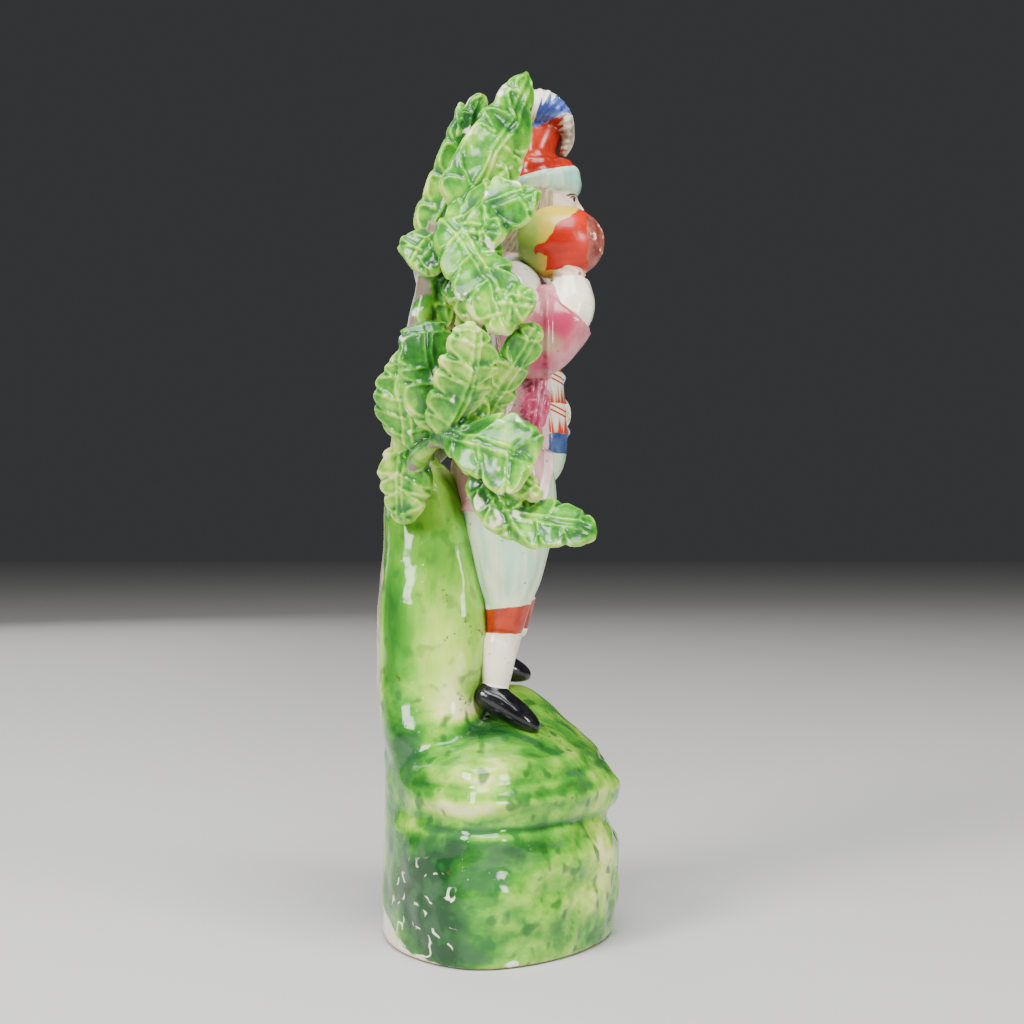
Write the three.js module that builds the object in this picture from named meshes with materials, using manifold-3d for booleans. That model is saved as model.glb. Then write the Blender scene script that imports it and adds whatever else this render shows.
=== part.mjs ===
// A pearlware figure in front of a leafy bocage, pressed in moulds, joined with slip and fired as
// one piece: a mound, a tree stump, a person in coat, breeches and plumed hat, and sprays of leaves.
// Millimetres, +Z up. The figure looks along -Y and its right hand is towards -X. The origin is the
// middle of the flat underside.
import * as THREE from "three";
import { mergeVertices } from "three/addons/utils/BufferGeometryUtils.js";
import Module from "manifold-3d";

// Mound: its plan is a rounded lozenge, turned a little against the figure.
const base_half_width = 34.8;
const base_half_depth = 22.8;
const base_centre_y = 1;
const base_roundness = 1.7;
const base_turn = THREE.MathUtils.degToRad(-6);
const knoll = { x: 9, y: -4, spread: 8, rise: 6 };

// Figure: heights above the table.
const sole_height = 45;
const knee_height = 65;
const hem_height = 84;
const waist_height = 106;
const shoulder_height = 130;
const chin_height = 139;
const hat_brim_height = 147.5;
const hat_top_height = 163;
const leg_spacing = 10.5;

// Leaves: oak leaves with a raised midrib. The depth is a part of the half width, and the slant is
// how far the edge leans to the tip for each millimetre away from the midrib.
const leaf_thickness = 1.9;
const rib_height = 0.7;
const lobe_depth = 0.34;
const lobe_slant = 0.45;
const edge_droop = 0.12;
const outline_fullness = 0.9;
const narrowest = 0.03;
const bluntest = 0.955;

const vector = (x, y, z) => new THREE.Vector3(x, y, z);

// A closed geometry facing out, from rings with the same number of points each.
function loft(rings) {
  const count = rings[0].length;
  const points = rings.flat();
  const faces = [];
  for (let ring = 0; ring + 1 < rings.length; ring += 1) {
    for (let i = 0; i < count; i += 1) {
      const a = ring * count + i;
      const b = ring * count + ((i + 1) % count);
      faces.push(a, b, b + count, a, b + count, a + count);
    }
  }
  for (const [ring, turned] of [[0, true], [rings.length - 1, false]]) {
    const middle = points.length;
    const centre = rings[ring].reduce((sum, p) => sum.add(p), vector(0, 0, 0)).divideScalar(count);
    points.push(centre);
    for (let i = 0; i < count; i += 1) {
      const a = ring * count + i;
      const b = ring * count + ((i + 1) % count);
      faces.push(...(turned ? [b, a, middle] : [a, b, middle]));
    }
  }
  if (signedVolume(points, faces) < 0) {
    faces.reverse();
  }
  const geometry = new THREE.BufferGeometry().setFromPoints(points);
  geometry.setIndex(faces);
  return geometry;
}

function signedVolume(points, faces) {
  let volume = 0;
  for (let i = 0; i < faces.length; i += 3) {
    const [a, b, c] = [points[faces[i]], points[faces[i + 1]], points[faces[i + 2]]];
    volume += a.dot(b.clone().cross(c)) / 6;
  }
  return volume;
}

// A ring round a centre, in the plane of its two half axes. Roundness 2 is an ellipse, more is boxier.
function ellipse(centre, side, front, count, roundness = 2) {
  const bend = (wave) => Math.sign(wave) * Math.abs(wave) ** (2 / roundness);
  return Array.from({ length: count }, (_, i) => {
    const turn = (2 * Math.PI * i) / count;
    return centre
      .clone()
      .addScaledVector(side, bend(Math.cos(turn)))
      .addScaledVector(front, bend(Math.sin(turn)));
  });
}

// An upright form from [height, back-to-front place, half width, half depth, sideways place] rows.
// A fold is the part of the radius that the surface moves out by at a turn and a height.
function column(rows, count, fold = () => 0, roundness = 2) {
  return loft(
    rows.map(([z, y, half_width, half_depth, x = 0]) => {
      const side = vector(half_width, 0, 0);
      const front = vector(0, half_depth, 0);
      const ring = ellipse(vector(x, y, z), side, front, count, roundness);
      return ring.map((p, i) => {
        const turn = (2 * Math.PI * i) / count;
        return vector(x, y, z).lerp(p, 1 + fold(turn, z));
      });
    }),
  );
}

// A round form along a smooth path through [x, y, z, half width, half depth] stops. The half width
// lies in the direction of `across`.
function limb(stops, across, count, steps) {
  const path = new THREE.CatmullRomCurve3(stops.map(([x, y, z]) => vector(x, y, z)));
  const rings = [];
  for (let i = 0; i <= steps; i += 1) {
    const part = i / steps;
    const place = part * (stops.length - 1);
    const before = stops[Math.floor(place)];
    const after = stops[Math.min(Math.floor(place) + 1, stops.length - 1)];
    const between = place - Math.floor(place);
    const half_width = THREE.MathUtils.lerp(before[3], after[3], between);
    const half_depth = THREE.MathUtils.lerp(before[4] ?? before[3], after[4] ?? after[3], between);
    const along = path.getTangent(part);
    const front = vector(...across).cross(along).normalize();
    const side = along.clone().cross(front).normalize();
    side.multiplyScalar(half_width);
    front.multiplyScalar(half_depth);
    rings.push(ellipse(path.getPoint(part), side, front, count));
  }
  return loft(rings);
}

// The mound: a steep wall, a groove under a rounded ledge, and a domed top with a knoll in it.
// Each row is [part of the plan's radius, height] on the front, the sides and the back.
const mound_rows = [
  { front: [1.0, 0], side: [1.0, 0], back: [1.0, 0] },
  { front: [1.09, 9], side: [1.02, 10], back: [1.0, 10] },
  { front: [1.09, 17], side: [1.0, 18], back: [1.0, 18] },
  { front: [1.02, 21.5], side: [0.97, 24], back: [0.995, 25] },
  { front: [0.96, 24], side: [0.925, 27], back: [0.99, 29.5] },
  { front: [1.07, 27], side: [0.96, 30], back: [0.985, 33] },
  { front: [1.06, 31], side: [0.93, 34], back: [0.98, 36] },
  { front: [0.91, 34.8], side: [0.83, 38], back: [0.9, 39] },
  { front: [0.7, 37.5], side: [0.66, 40.5], back: [0.7, 41.5] },
  { front: [0.45, 40.5], side: [0.42, 42.5], back: [0.4, 43] },
  { front: [0.2, 43], side: [0.2, 43.5], back: [0.2, 43.5] },
];

function planRadius(turn) {
  const c = Math.abs(Math.cos(turn - base_turn)) / base_half_width;
  const s = Math.abs(Math.sin(turn - base_turn)) / base_half_depth;
  return (c ** base_roundness + s ** base_roundness) ** (-1 / base_roundness);
}

function mound() {
  const count = 28;
  return loft(
    mound_rows.map(({ front, side, back }) =>
      Array.from({ length: count }, (_, i) => {
        const turn = (2 * Math.PI * i) / count;
        const sideways = Math.cos(turn) ** 2;
        const end = Math.sin(turn) < 0 ? front : back;
        const part = end[0] * (1 - sideways) + side[0] * sideways;
        const height = end[1] * (1 - sideways) + side[1] * sideways;
        const x = part * planRadius(turn) * Math.cos(turn);
        const y = part * planRadius(turn) * Math.sin(turn) + base_centre_y;
        const off = ((x - knoll.x) ** 2 + (y - knoll.y) ** 2) / (2 * knoll.spread ** 2);
        const raised = height > 34 ? knoll.rise * Math.exp(-off) : 0;
        return vector(x, y, height + raised);
      }),
    ),
  );
}

// The stump behind the legs, and the stems that carry the sprays of leaves.
function stump() {
  return column(
    [
      [24, 10.5, 19, 7.5],
      [38, 12.8, 21, 10.6],
      [47, 13.3, 19, 11.3],
      [56, 13.7, 17.8, 11.5],
      [66, 13.5, 16.8, 11],
      [77, 14, 14.5, 8.2],
      [85, 15.6, 11.5, 6],
      [94, 17, 9, 4.6],
      [104, 18, 5.5, 3.4],
    ],
    18,
    (turn) => 0.03 * Math.cos(5 * turn + 0.6),
    3,
  );
}

const middle_stem = [
  [0, 18, 94, 5.5, 3.4],
  [0, 18, 112, 4.4, 2.8],
  [0, 17, 128, 3.6, 2.4],
  [0, 13.5, 144, 2.4, 2],
];
const right_stems = [
  [[-5, 17.5, 82, 5, 3.6], [-14, 18, 95, 4.2, 3.2], [-20, 17, 112, 3.4, 2.6], [-25, 11.5, 138, 2.2]],
  [[-7, 17, 86, 4, 3], [-19, 16, 93.5, 3, 2.6], [-29.5, 12, 97.5, 2]],
];
const left_stems = right_stems.map((stops) => stops.map(([x, ...rest]) => [-x, ...rest]));

function stem(stops) {
  return limb(stops, [1, 0, 0], 6, stops.length + 1);
}

// Stockings and breeches. The left foot stands a step up, on the knoll.
function legs() {
  const stocking = (x, y, foot) => [
    [x, y + 1.4, foot, 3.1],
    [x, y + 1, foot + 6, 3.1],
    [x, y - 0.2, knee_height - 5, 3.4],
    [x, y - 1, knee_height + 2, 4.4],
  ];
  return [
    limb(stocking(-leg_spacing, 0, sole_height), [1, 0, 0], 10, 4),
    limb(stocking(leg_spacing - 1, -1.5, sole_height + 6), [1, 0, 0], 10, 4),
    limb(
      [
        [-leg_spacing, -0.4, knee_height - 4, 4, 3.5],
        [-10.3, -1.1, knee_height + 1, 5.2, 4.5],
        [-9.5, -1.4, knee_height + 8, 7.6, 6.8],
        [-8, -1.5, hem_height, 9, 9.2],
        [-7, -1, hem_height + 8, 9, 9],
      ],
      [1, 0, 0],
      12,
      5,
    ),
    limb(
      [
        [leg_spacing - 1, -1.4, knee_height - 3, 4, 3.6],
        [9.4, -1.8, knee_height + 2, 5.2, 4.5],
        [9, -2, knee_height + 9, 7.6, 6.8],
        [8, -1.5, hem_height, 9, 9.2],
        [7, -1, hem_height + 8, 9, 9],
      ],
      [1, 0, 0],
      12,
      5,
    ),
  ];
}

// A shoe from heel to toe: [towards the back, half width, half height, height of the middle].
function shoe(x, y, z, slope, toe_out) {
  const rows = [
    [5.4, 2.0, 1.2, 2.6],
    [4.6, 2.8, 2.2, 2.6],
    [1.0, 3.2, 2.9, 2.5],
    [-3.0, 3.5, 2.6, 1.9],
    [-6.2, 3.0, 1.9, 1.3],
    [-8.2, 1.5, 0.9, 0.9],
  ];
  const geometry = loft(
    rows.map(([back, half_width, half_height, middle]) =>
      ellipse(vector(0, back, middle), vector(half_width, 0, 0), vector(0, 0, half_height), 10),
    ),
  );
  geometry.rotateX(slope);
  geometry.rotateZ(toe_out);
  geometry.translate(x, y, z);
  return geometry;
}

// A coat with nine soft folds in its skirts, a waistcoat over the belly and a ribbon at the hip.
function coat() {
  return column(
    [
      [hem_height, 0.8, 18, 10.8],
      [hem_height + 4, 0.6, 18.2, 10.6],
      [hem_height + 9, 0, 16.8, 9.6],
      [hem_height + 15, -1.6, 14.6, 8.2],
      [waist_height, -3.6, 13, 6.6],
      [waist_height + 7, -3.8, 14, 6.6],
      [waist_height + 15, -3.6, 16, 6.6],
      [shoulder_height - 2, -3.2, 17, 6],
      [shoulder_height + 2, -3, 13, 5.2],
      [shoulder_height + 5, -3.4, 7, 4.4],
      [shoulder_height + 6.5, -3.6, 5.2, 4.2],
    ],
    18,
    (turn, z) => 0.035 * Math.max(0, (waist_height - z) / 22) * Math.cos(9 * turn),
  );
}

function waistcoat() {
  return limb(
    [
      [0, -5.2, 90, 5.5, 4],
      [0, -6.9, 95, 7.4, 5.8],
      [0, -7.2, 103, 7.8, 5.6],
      [0, -6.6, 113, 7.6, 5.2],
      [0, -5.6, 124, 6.4, 4.6],
      [0, -4.8, 131, 4, 3.6],
    ],
    [1, 0, 0],
    10,
    6,
  );
}

function ribbon() {
  return limb(
    [
      [-14.6, -6.4, 112, 2.6, 1.6],
      [-15.2, -6.8, 109, 4.2, 2],
      [-15.8, -6.4, 103, 3.4, 1.8],
      [-16.2, -5.6, 97.5, 0.8, 0.8],
    ],
    [0, 1, 0],
    8,
    5,
  );
}

// The right arm is bent up to the flask, with a ruffled cuff and the hand. The left hand is on the
// hip.
function arms() {
  return [
    limb([[-14, -2.6, 128, 5.4], [-18.5, -3.4, 121, 5], [-20.5, -4.6, 112, 4.8]], [1, 0, 0], 10, 3),
    limb([[-20.5, -4.4, 112, 4.6], [-20, -8.5, 114, 5.2], [-18.6, -12.8, 120.5, 5.6]], [1, 0, 0], 10, 3),
    limb([[-18.8, -12.2, 119.4, 3.8], [-17.8, -13.4, 123.6, 4.6], [-16.2, -13, 128, 3.6]], [1, 0, 0], 10, 3),
    limb([[-16.6, -13, 126.5, 2.8], [-14.4, -12.6, 130.5, 3.4], [-13, -12, 133, 2.6]], [1, 0, 0], 10, 3),
    limb([[14, -2.6, 128, 5.4], [19, -2.6, 120, 5], [21.5, -2.2, 110.5, 4.6]], [1, 0, 0], 10, 3),
    limb([[21.5, -2, 110.8, 4.6], [18.5, -6.5, 106.5, 4.4], [13.5, -10, 104, 3.8]], [1, 0, 0], 10, 3),
    limb([[14.6, -9.6, 104.4, 3], [11, -11.2, 103.4, 3], [8.4, -11.8, 103, 2]], [0, 0, 1], 12, 3),
  ];
}

// Head: an egg with a brow, nose and chin, long hair at the sides, and the plumed hat.
function head() {
  const tall = hat_top_height - chin_height;
  const face = column(
    [
      [chin_height - 6, -4.6, 4.4, 4.4],
      [chin_height - 1.5, -5.4, 4.6, 5],
      [chin_height, -7.6, 3.4, 5.4],
      [chin_height + 1.8, -8, 5, 6.8],
      [chin_height + 0.2 * tall, -7.8, 6.4, 7.5],
      [chin_height + 0.36 * tall, -7.4, 7.1, 7.9],
      [chin_height + 0.55 * tall, -7, 6.9, 7.6],
      [chin_height + 0.75 * tall, -7, 4.6, 5.6],
    ],
    14,
  );
  const nose = limb(
    [
      [0, -14.6, chin_height + 7.6, 0.8, 0.7],
      [0, -15.4, chin_height + 5.4, 1.0, 1.0],
      [0, -14.6, chin_height + 4.2, 1.0, 0.6],
    ],
    [1, 0, 0],
    8,
    2,
  );
  const lock = (side) =>
    limb(
      [
        [6.6 * side, -7.5, chin_height + 8.5, 1.6, 2.6],
        [7.4 * side, -6.4, chin_height + 4, 1.9, 3.2],
        [6.4 * side, -4.6, chin_height - 1.5, 1.6, 3],
        [5.2 * side, -3.6, chin_height - 4, 0.8, 1.6],
      ],
      [1, 0, 0],
      6,
      4,
    );
  return [face, nose, lock(-1), lock(1)];
}

function hat() {
  const band = column(
    [
      [hat_brim_height, -7.2, 7.6, 8.1],
      [hat_brim_height + 2.5, -7.2, 8.6, 8.7],
      [hat_brim_height + 5.4, -7, 8.4, 8],
      [hat_brim_height + 7, -6.8, 7.2, 7.2],
    ],
    14,
  );
  const crown = column(
    [
      [hat_brim_height + 4, -6.8, 7.6, 7.8],
      [hat_brim_height + 7, -6.8, 7.2, 7],
      [hat_brim_height + 10, -6.6, 6.4, 5.6],
      [hat_brim_height + 13.5, -6.8, 6.8, 6],
      [hat_top_height, -6.8, 5.4, 5],
      [hat_top_height + 1.4, -6.8, 2.4, 2.4],
    ],
    12,
  );
  const plume = limb(
    [
      [-2, -1.5, hat_top_height - 3, 2.6, 1.4],
      [-2, -4, hat_top_height + 1.2, 4, 2.6],
      [-2, -8, hat_top_height + 2.2, 4.6, 2.8],
      [-2, -11.6, hat_top_height - 0.4, 4, 2.2],
      [-2, -12.9, hat_top_height - 4, 3, 1.4],
      [-2, -11.8, hat_top_height - 6.5, 1.8, 1],
    ],
    [1, 0, 0],
    8,
    7,
  );
  return [band, crown, plume];
}

// The round flask carried on the right shoulder.
function flask() {
  const radius = { along: 8.7, round: 7.2 };
  const rings = Array.from({ length: 7 }, (_, i) => {
    const part = -1 + (2 * (i + 0.35)) / 6.7;
    const round = radius.round * Math.sqrt(1 - part * part);
    return ellipse(vector(0, -part * radius.along, 0), vector(round, 0, 0), vector(0, 0, round), 14);
  });
  const geometry = loft(rings);
  geometry.translate(-13, -11.3, 136.1);
  return geometry;
}

// One leaf from its stalk to its tip, with lobed edges, a raised midrib and a bowed blade.
function leaf([root, tip, face, width, bow, lobes, widest]) {
  const start = vector(...root);
  const along = vector(...tip).sub(start);
  const length = along.length();
  along.normalize();
  const up = vector(...face);
  up.addScaledVector(along, -up.dot(along)).normalize();
  const side = along.clone().cross(up);
  const rings = [];
  const stations = 3 * lobes;
  for (let i = 0; i <= stations; i += 1) {
    const part = i / stations;
    const notch = i % 3 === 0 && i < stations ? lobe_depth : 0;
    const grown = THREE.MathUtils.clamp(part, narrowest, bluntest);
    const opening = (grown / widest) ** (outline_fullness * widest);
    const closing = ((1 - grown) / (1 - widest)) ** (outline_fullness * (1 - widest));
    const half = 0.5 * width * opening * closing * (1 - notch);
    const middle = start
      .clone()
      .addScaledVector(along, length * part * (1 - (0.3 * lobe_slant * width) / length))
      .addScaledVector(up, bow * 4 * part * (1 - part));
    const section = [
      [-1, 0.3],
      [0, 0.5 + rib_height / leaf_thickness],
      [1, 0.3],
      [1, -0.4],
      [-1, -0.4],
    ];
    rings.push(
      section.map(([across, high]) =>
        middle
          .clone()
          .addScaledVector(side, across * half)
          .addScaledVector(along, lobe_slant * Math.abs(across) * half)
          .addScaledVector(up, high * leaf_thickness - edge_droop * half * across * across),
      ),
    );
  }
  return loft(rings);
}

// Leaves: [stalk end, tip, the way the blade faces, width, bow, lobes on a side, where it is widest].
// Those of the left-hand half are mirrored and swung by some degrees, or left out.
const right_leaves = [
  [[-24, 11.5, 137.5], [-12, -6, 169], [-0.75, -0.6, 0.2], 14, 2.5, 4, 0.38],
  [[-17, 15, 134], [-12, 3, 165.5], [-0.85, -0.4, 0.1], 10, 1.5, 3, 0.5],
  [[-26, 11.5, 136], [-27, -9.5, 144], [-0.8, -0.1, 0.6], 11.5, 1.5, 3, 0.5],
  [[-26, 11.5, 138], [-33, -6, 119], [-0.85, -0.45, 0.2], 13, 3, 4, 0.6],
  [[-25, 10.5, 136.5], [-26, 18, 129.5], [-0.85, 0.3, 0.1], 9, 1, 2, 0.6],
  [[-29, 12, 97.5], [-32, 15.5, 120], [-0.85, -0.4, 0.1], 13, 1.5, 3, 0.65],
  [[-30, 11.5, 97], [-38, 4, 119], [-0.8, -0.55, 0.1], 14, 2, 3, 0.6],
  [[-30, 12, 97.5], [-38, -8, 93], [-0.85, -0.1, 0.4], 16, 2.5, 3, 0.6],
  [[-30, 9.5, 96.5], [-33, -2, 79], [-0.9, -0.3, -0.1], 7.6, 1.5, 3, 0.5],
  [[-31, 2, 82.7], [-36, -18, 78.6], [-0.75, -0.1, 0.6], 12, 2, 3, 0.5],
  [[-21, 3, 99], [-24, -8, 122], [-0.85, -0.45, 0], 9.7, -1, 3, 0.5],
  [[-17, 17.5, 94], [-15, 20, 111.5], [-0.8, 0.5, 0.1], 10, 1.5, 2, 0.5],
  [[-17, 17.5, 97], [-14.5, 18.5, 77], [-0.8, 0.5, 0], 12, 1.5, 3, 0.5],
];
const left_swings = [7, 0, -7, 6, null, -6, 5, -12, null, null, null, 5, -5];

// The fan of leaves behind the head, on the middle stem.
const middle_leaves = [
  [[-2.5, 14.5, 139], [-16, 7.5, 164], [-0.2, -1, 0.3], 12.5, 1, 3, 0.5],
  [[0, 14.5, 139], [0, 7.5, 167], [0, -1, 0.3], 12.5, 1, 3, 0.5],
  [[2.5, 14.5, 139], [16, 7.5, 164], [0.2, -1, 0.3], 12.5, 1, 3, 0.5],
];

function mirrored([root, tip, face, ...rest], swing) {
  const turn = THREE.MathUtils.degToRad(swing);
  const [x, y, z] = root;
  const out = vector(0, tip[1] - y, tip[2] - z).applyAxisAngle(vector(1, 0, 0), turn);
  return [[-x, y, z], [-tip[0], y + out.y, z + out.z], [-face[0], face[1], face[2]], ...rest];
}

const left_leaves = right_leaves
  .map((shape, i) => (left_swings[i] === null ? null : mirrored(shape, left_swings[i])))
  .filter((shape) => shape !== null);

// Every form is joined into one solid, as slip and glaze join them in the kiln.
const wasm = await Module();
wasm.setup();

function solid(geometry) {
  geometry.deleteAttribute("normal");
  geometry.deleteAttribute("uv");
  const merged = mergeVertices(geometry, 1e-4);
  return new wasm.Manifold(
    new wasm.Mesh({
      numProp: 3,
      vertProperties: merged.attributes.position.array,
      triVerts: new Uint32Array(merged.index.array),
    }),
  );
}

const forms = [
  mound(),
  stump(),
  ...[middle_stem, ...right_stems, ...left_stems].map(stem),
  ...legs(),
  shoe(-leg_spacing - 0.5, 0.4, sole_height - 0.9, 0.4, -0.15),
  shoe(leg_spacing - 1, 3, sole_height + 5.2, 0.12, 0.2),
  coat(),
  waistcoat(),
  ribbon(),
  ...arms(),
  ...head(),
  ...hat(),
  flask(),
  ...[...right_leaves, ...left_leaves, ...middle_leaves].map(leaf),
];

const joined = forms.map(solid).reduce((whole, form) => whole.add(form));
const { vertProperties, triVerts } = joined.getMesh();
const figure_geometry = new THREE.BufferGeometry();
figure_geometry.setAttribute("position", new THREE.BufferAttribute(vertProperties, 3));
figure_geometry.setIndex(new THREE.BufferAttribute(triVerts, 1));
figure_geometry.computeVertexNormals();

const glazed_pearlware = new THREE.MeshStandardMaterial({ color: 0x6fae4e, roughness: 0.18, metalness: 0 });
const figure = new THREE.Mesh(figure_geometry, glazed_pearlware);
figure.name = "bocage_figure";

const group = new THREE.Group();
group.add(figure);
export default group;
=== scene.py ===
import itertools
import math

import bpy
import numpy as np
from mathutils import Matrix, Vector
from mathutils.bvhtree import BVHTree


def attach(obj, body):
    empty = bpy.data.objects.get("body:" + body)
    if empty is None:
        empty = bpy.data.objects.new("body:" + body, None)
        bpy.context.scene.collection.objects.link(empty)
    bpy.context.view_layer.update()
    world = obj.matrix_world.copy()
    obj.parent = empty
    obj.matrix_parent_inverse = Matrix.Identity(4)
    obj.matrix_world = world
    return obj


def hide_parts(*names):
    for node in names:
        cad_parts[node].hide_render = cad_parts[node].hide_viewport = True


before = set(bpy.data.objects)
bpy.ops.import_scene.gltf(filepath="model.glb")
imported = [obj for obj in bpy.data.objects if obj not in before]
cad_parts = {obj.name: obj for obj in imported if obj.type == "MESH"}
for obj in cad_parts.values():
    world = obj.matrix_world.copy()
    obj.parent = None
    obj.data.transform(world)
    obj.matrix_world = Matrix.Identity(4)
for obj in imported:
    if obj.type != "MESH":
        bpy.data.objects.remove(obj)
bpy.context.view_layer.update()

# The view: a camera on the figure's right-hand side, level with the middle of the figure. The floor
# is pale and plain, one large window-like light stands behind the camera, and softer ones fill in.
camera_place = (-0.400, -0.002, 0.084)
camera = bpy.data.objects.new("camera", bpy.data.cameras.new("camera"))
camera.data.lens = 70.3125
camera.data.sensor_width = 36
camera.data.clip_start = 0.01
camera.location = camera_place
camera.rotation_mode = "QUATERNION"
camera.rotation_quaternion = Vector((1, 0, 0)).to_track_quat("-Z", "Y")
bpy.context.scene.collection.objects.link(camera)
bpy.context.scene.camera = camera


def area_light(name, place, aim, size, power, colour):
    light = bpy.data.lights.new(name, "AREA")
    light.shape = "RECTANGLE"
    light.size, light.size_y = size
    light.energy = power
    light.color = colour
    lamp = bpy.data.objects.new(name, light)
    lamp.location = place
    lamp.rotation_mode = "QUATERNION"
    lamp.rotation_quaternion = (Vector(aim) - Vector(place)).to_track_quat("-Z", "Y")
    bpy.context.scene.collection.objects.link(lamp)


middle = (0, 0, 0.08)
area_light("window_light", (-0.75, 0.6, 0.6), middle, (0.34, 0.5), 18, (1, 0.985, 0.96))
area_light("sky_light", (-0.45, -0.05, 1.0), middle, (0.65, 0.65), 22, (0.97, 0.985, 1))
area_light("front_light", (-0.75, -0.8, 0.4), middle, (0.3, 0.4), 11, (1, 0.98, 0.95))
area_light("back_light", (0.8, 0.5, 0.5), middle, (0.8, 0.8), 4, (1, 1, 1))

world = bpy.data.worlds.new("studio")
world.use_nodes = True
world.node_tree.nodes["Background"].inputs["Color"].default_value = (0.04, 0.041, 0.044, 1)
world.node_tree.nodes["Background"].inputs["Strength"].default_value = 1
bpy.context.scene.world = world

floor_half = 3
floor_mesh = bpy.data.meshes.new("floor")
floor_corners = [(x * floor_half, y * floor_half, 0) for x, y in ((-1, -1), (1, -1), (1, 1), (-1, 1))]
floor_mesh.from_pydata(floor_corners, [], [(0, 1, 2, 3)])
floor = bpy.data.objects.new("floor", floor_mesh)
bpy.context.scene.collection.objects.link(floor)
floor_paint = bpy.data.materials.new("pale_floor")
floor_paint.use_nodes = True
floor_shader = floor_paint.node_tree.nodes["Principled BSDF"]
floor_shader.inputs["Base Color"].default_value = (0.5, 0.49, 0.475, 1)
floor_shader.inputs["Roughness"].default_value = 0.6
floor.data.materials.append(floor_paint)


# The mound and the tree stump: red clay moulds gave them their rocky face. Pearlware clay, about four
# millimetres thick, under a copper-green glaze that ran, pooled in the hollows and left the back pale.
class Field:
    """One output of a node. Sums, products and powers of fields add Math nodes to its tree."""

    def __init__(self, tree, socket=None):
        self.tree = tree
        self.socket = socket

    def node(self, kind, settings=None, inputs=None, output=0):
        made = self.tree.nodes.new(kind)
        for name, value in (settings or {}).items():
            if name == "stops":
                for at, colour in value[2:]:
                    made.color_ramp.elements.new(at)
                for stop, (at, colour) in zip(made.color_ramp.elements, value):
                    stop.position = at
                    stop.color = (*colour, 1)
            else:
                setattr(made, name, value)
        for key, value in (inputs or {}).items():
            target = self.find(made.inputs, key)
            if isinstance(value, Field):
                self.tree.links.new(value.socket, target)
            else:
                target.default_value = value
        return Field(self.tree, self.find(made.outputs, output))

    @staticmethod
    def find(sockets, key):
        if isinstance(key, int):
            return [s for s in sockets if s.enabled][key]
        named = [s for s in sockets if s.identifier == key]
        return (named or [s for s in sockets if s.name == key and s.enabled])[0]

    def math(self, operation, *values):
        return self.node("ShaderNodeMath", {"operation": operation}, dict(enumerate(values)))

    def vector(self, operation, *values):
        return self.node("ShaderNodeVectorMath", {"operation": operation}, dict(enumerate(values)))

    def scaled(self, factor):
        return self.node("ShaderNodeVectorMath", {"operation": "SCALE"}, {0: self, "Scale": factor})

    def step(self, low, high):
        """0 below low, 1 above high, and a smooth change between them."""
        limits = {"Value": self, "From Min": low, "From Max": high}
        return self.node("ShaderNodeMapRange", {"interpolation_type": "SMOOTHSTEP"}, limits)

    def mix(self, colour, factor, first=None):
        """This colour, or the given first one, changed to the other by a factor from 0 to 1."""
        values = {"Factor_Float": factor, "A_Color": first or self, "B_Color": colour}
        return self.node("ShaderNodeMix", {"data_type": "RGBA"}, values, "Result_Color")

    def __add__(self, other):
        return self.math("ADD", self, other)

    def __sub__(self, other):
        return self.math("SUBTRACT", self, other)

    def __rsub__(self, other):
        return self.math("SUBTRACT", other, self)

    def __mul__(self, other):
        return self.math("MULTIPLY", self, other)

    def __truediv__(self, other):
        return self.math("DIVIDE", self, other)

    def __rtruediv__(self, other):
        return self.math("DIVIDE", other, self)

    def __pow__(self, other):
        return self.math("POWER", self, other)

    def __abs__(self):
        return self.math("ABSOLUTE", self)

    __radd__ = __add__
    __rmul__ = __mul__


millimetre = 0.001


def curve_rows(rows, steps):
    """The rows, with a smooth curve through them in the given number of steps from row to row."""
    rows = np.asarray(rows, float)
    ends = [2 * rows[0] - rows[1], *rows, 2 * rows[-1] - rows[-2]]
    part = np.linspace(0, 1, steps, endpoint=False)[:, None]
    curved = []
    for a, b, c, d in zip(ends, ends[1:], ends[2:], ends[3:]):
        bend = (2 * a - 5 * b + 4 * c - d) * part**2 + (3 * b - a - 3 * c + d) * part**3
        curved.append(b + 0.5 * ((c - a) * part + bend))
    return np.vstack([*curved, rows[-1:]])


def loft(rings):
    """A closed shape through rings of points: its points and faces."""
    rings = np.asarray(rings, float)
    count, around = rings.shape[:2]
    ends = [rings[0].mean(axis=0), rings[-1].mean(axis=0)]
    points = np.vstack([rings.reshape(-1, 3), ends])
    faces = []
    for ring, i in itertools.product(range(count - 1), range(around)):
        a, b = ring * around + i, ring * around + (i + 1) % around
        faces.append((a, b, b + around, a + around))
    for i in range(around):
        after = (i + 1) % around
        faces.append((after, i, count * around))
        last = (count - 1) * around
        faces.append((last + i, last + after, count * around + 1))
    return points, faces


def lumps(points, size, seed):
    """Smooth noise between -1 and 1, with lumps of about the given size in millimetres."""
    place = points / size
    cell = np.floor(place).astype(np.int64)
    part = place - cell
    part = part * part * (3 - 2 * part)
    total = np.zeros(len(points))
    for corner in itertools.product((0, 1), repeat=3):
        key = (cell + corner) @ np.array([73856093, 19349663, 83492791]) + seed * 7919
        key = (key ^ (key >> 13)) * 1274126177
        value = ((key ^ (key >> 16)) & 0xFFFF) / 32767.5 - 1
        total += value * np.prod(np.where(corner, part, 1 - part), axis=1)
    return total


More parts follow.
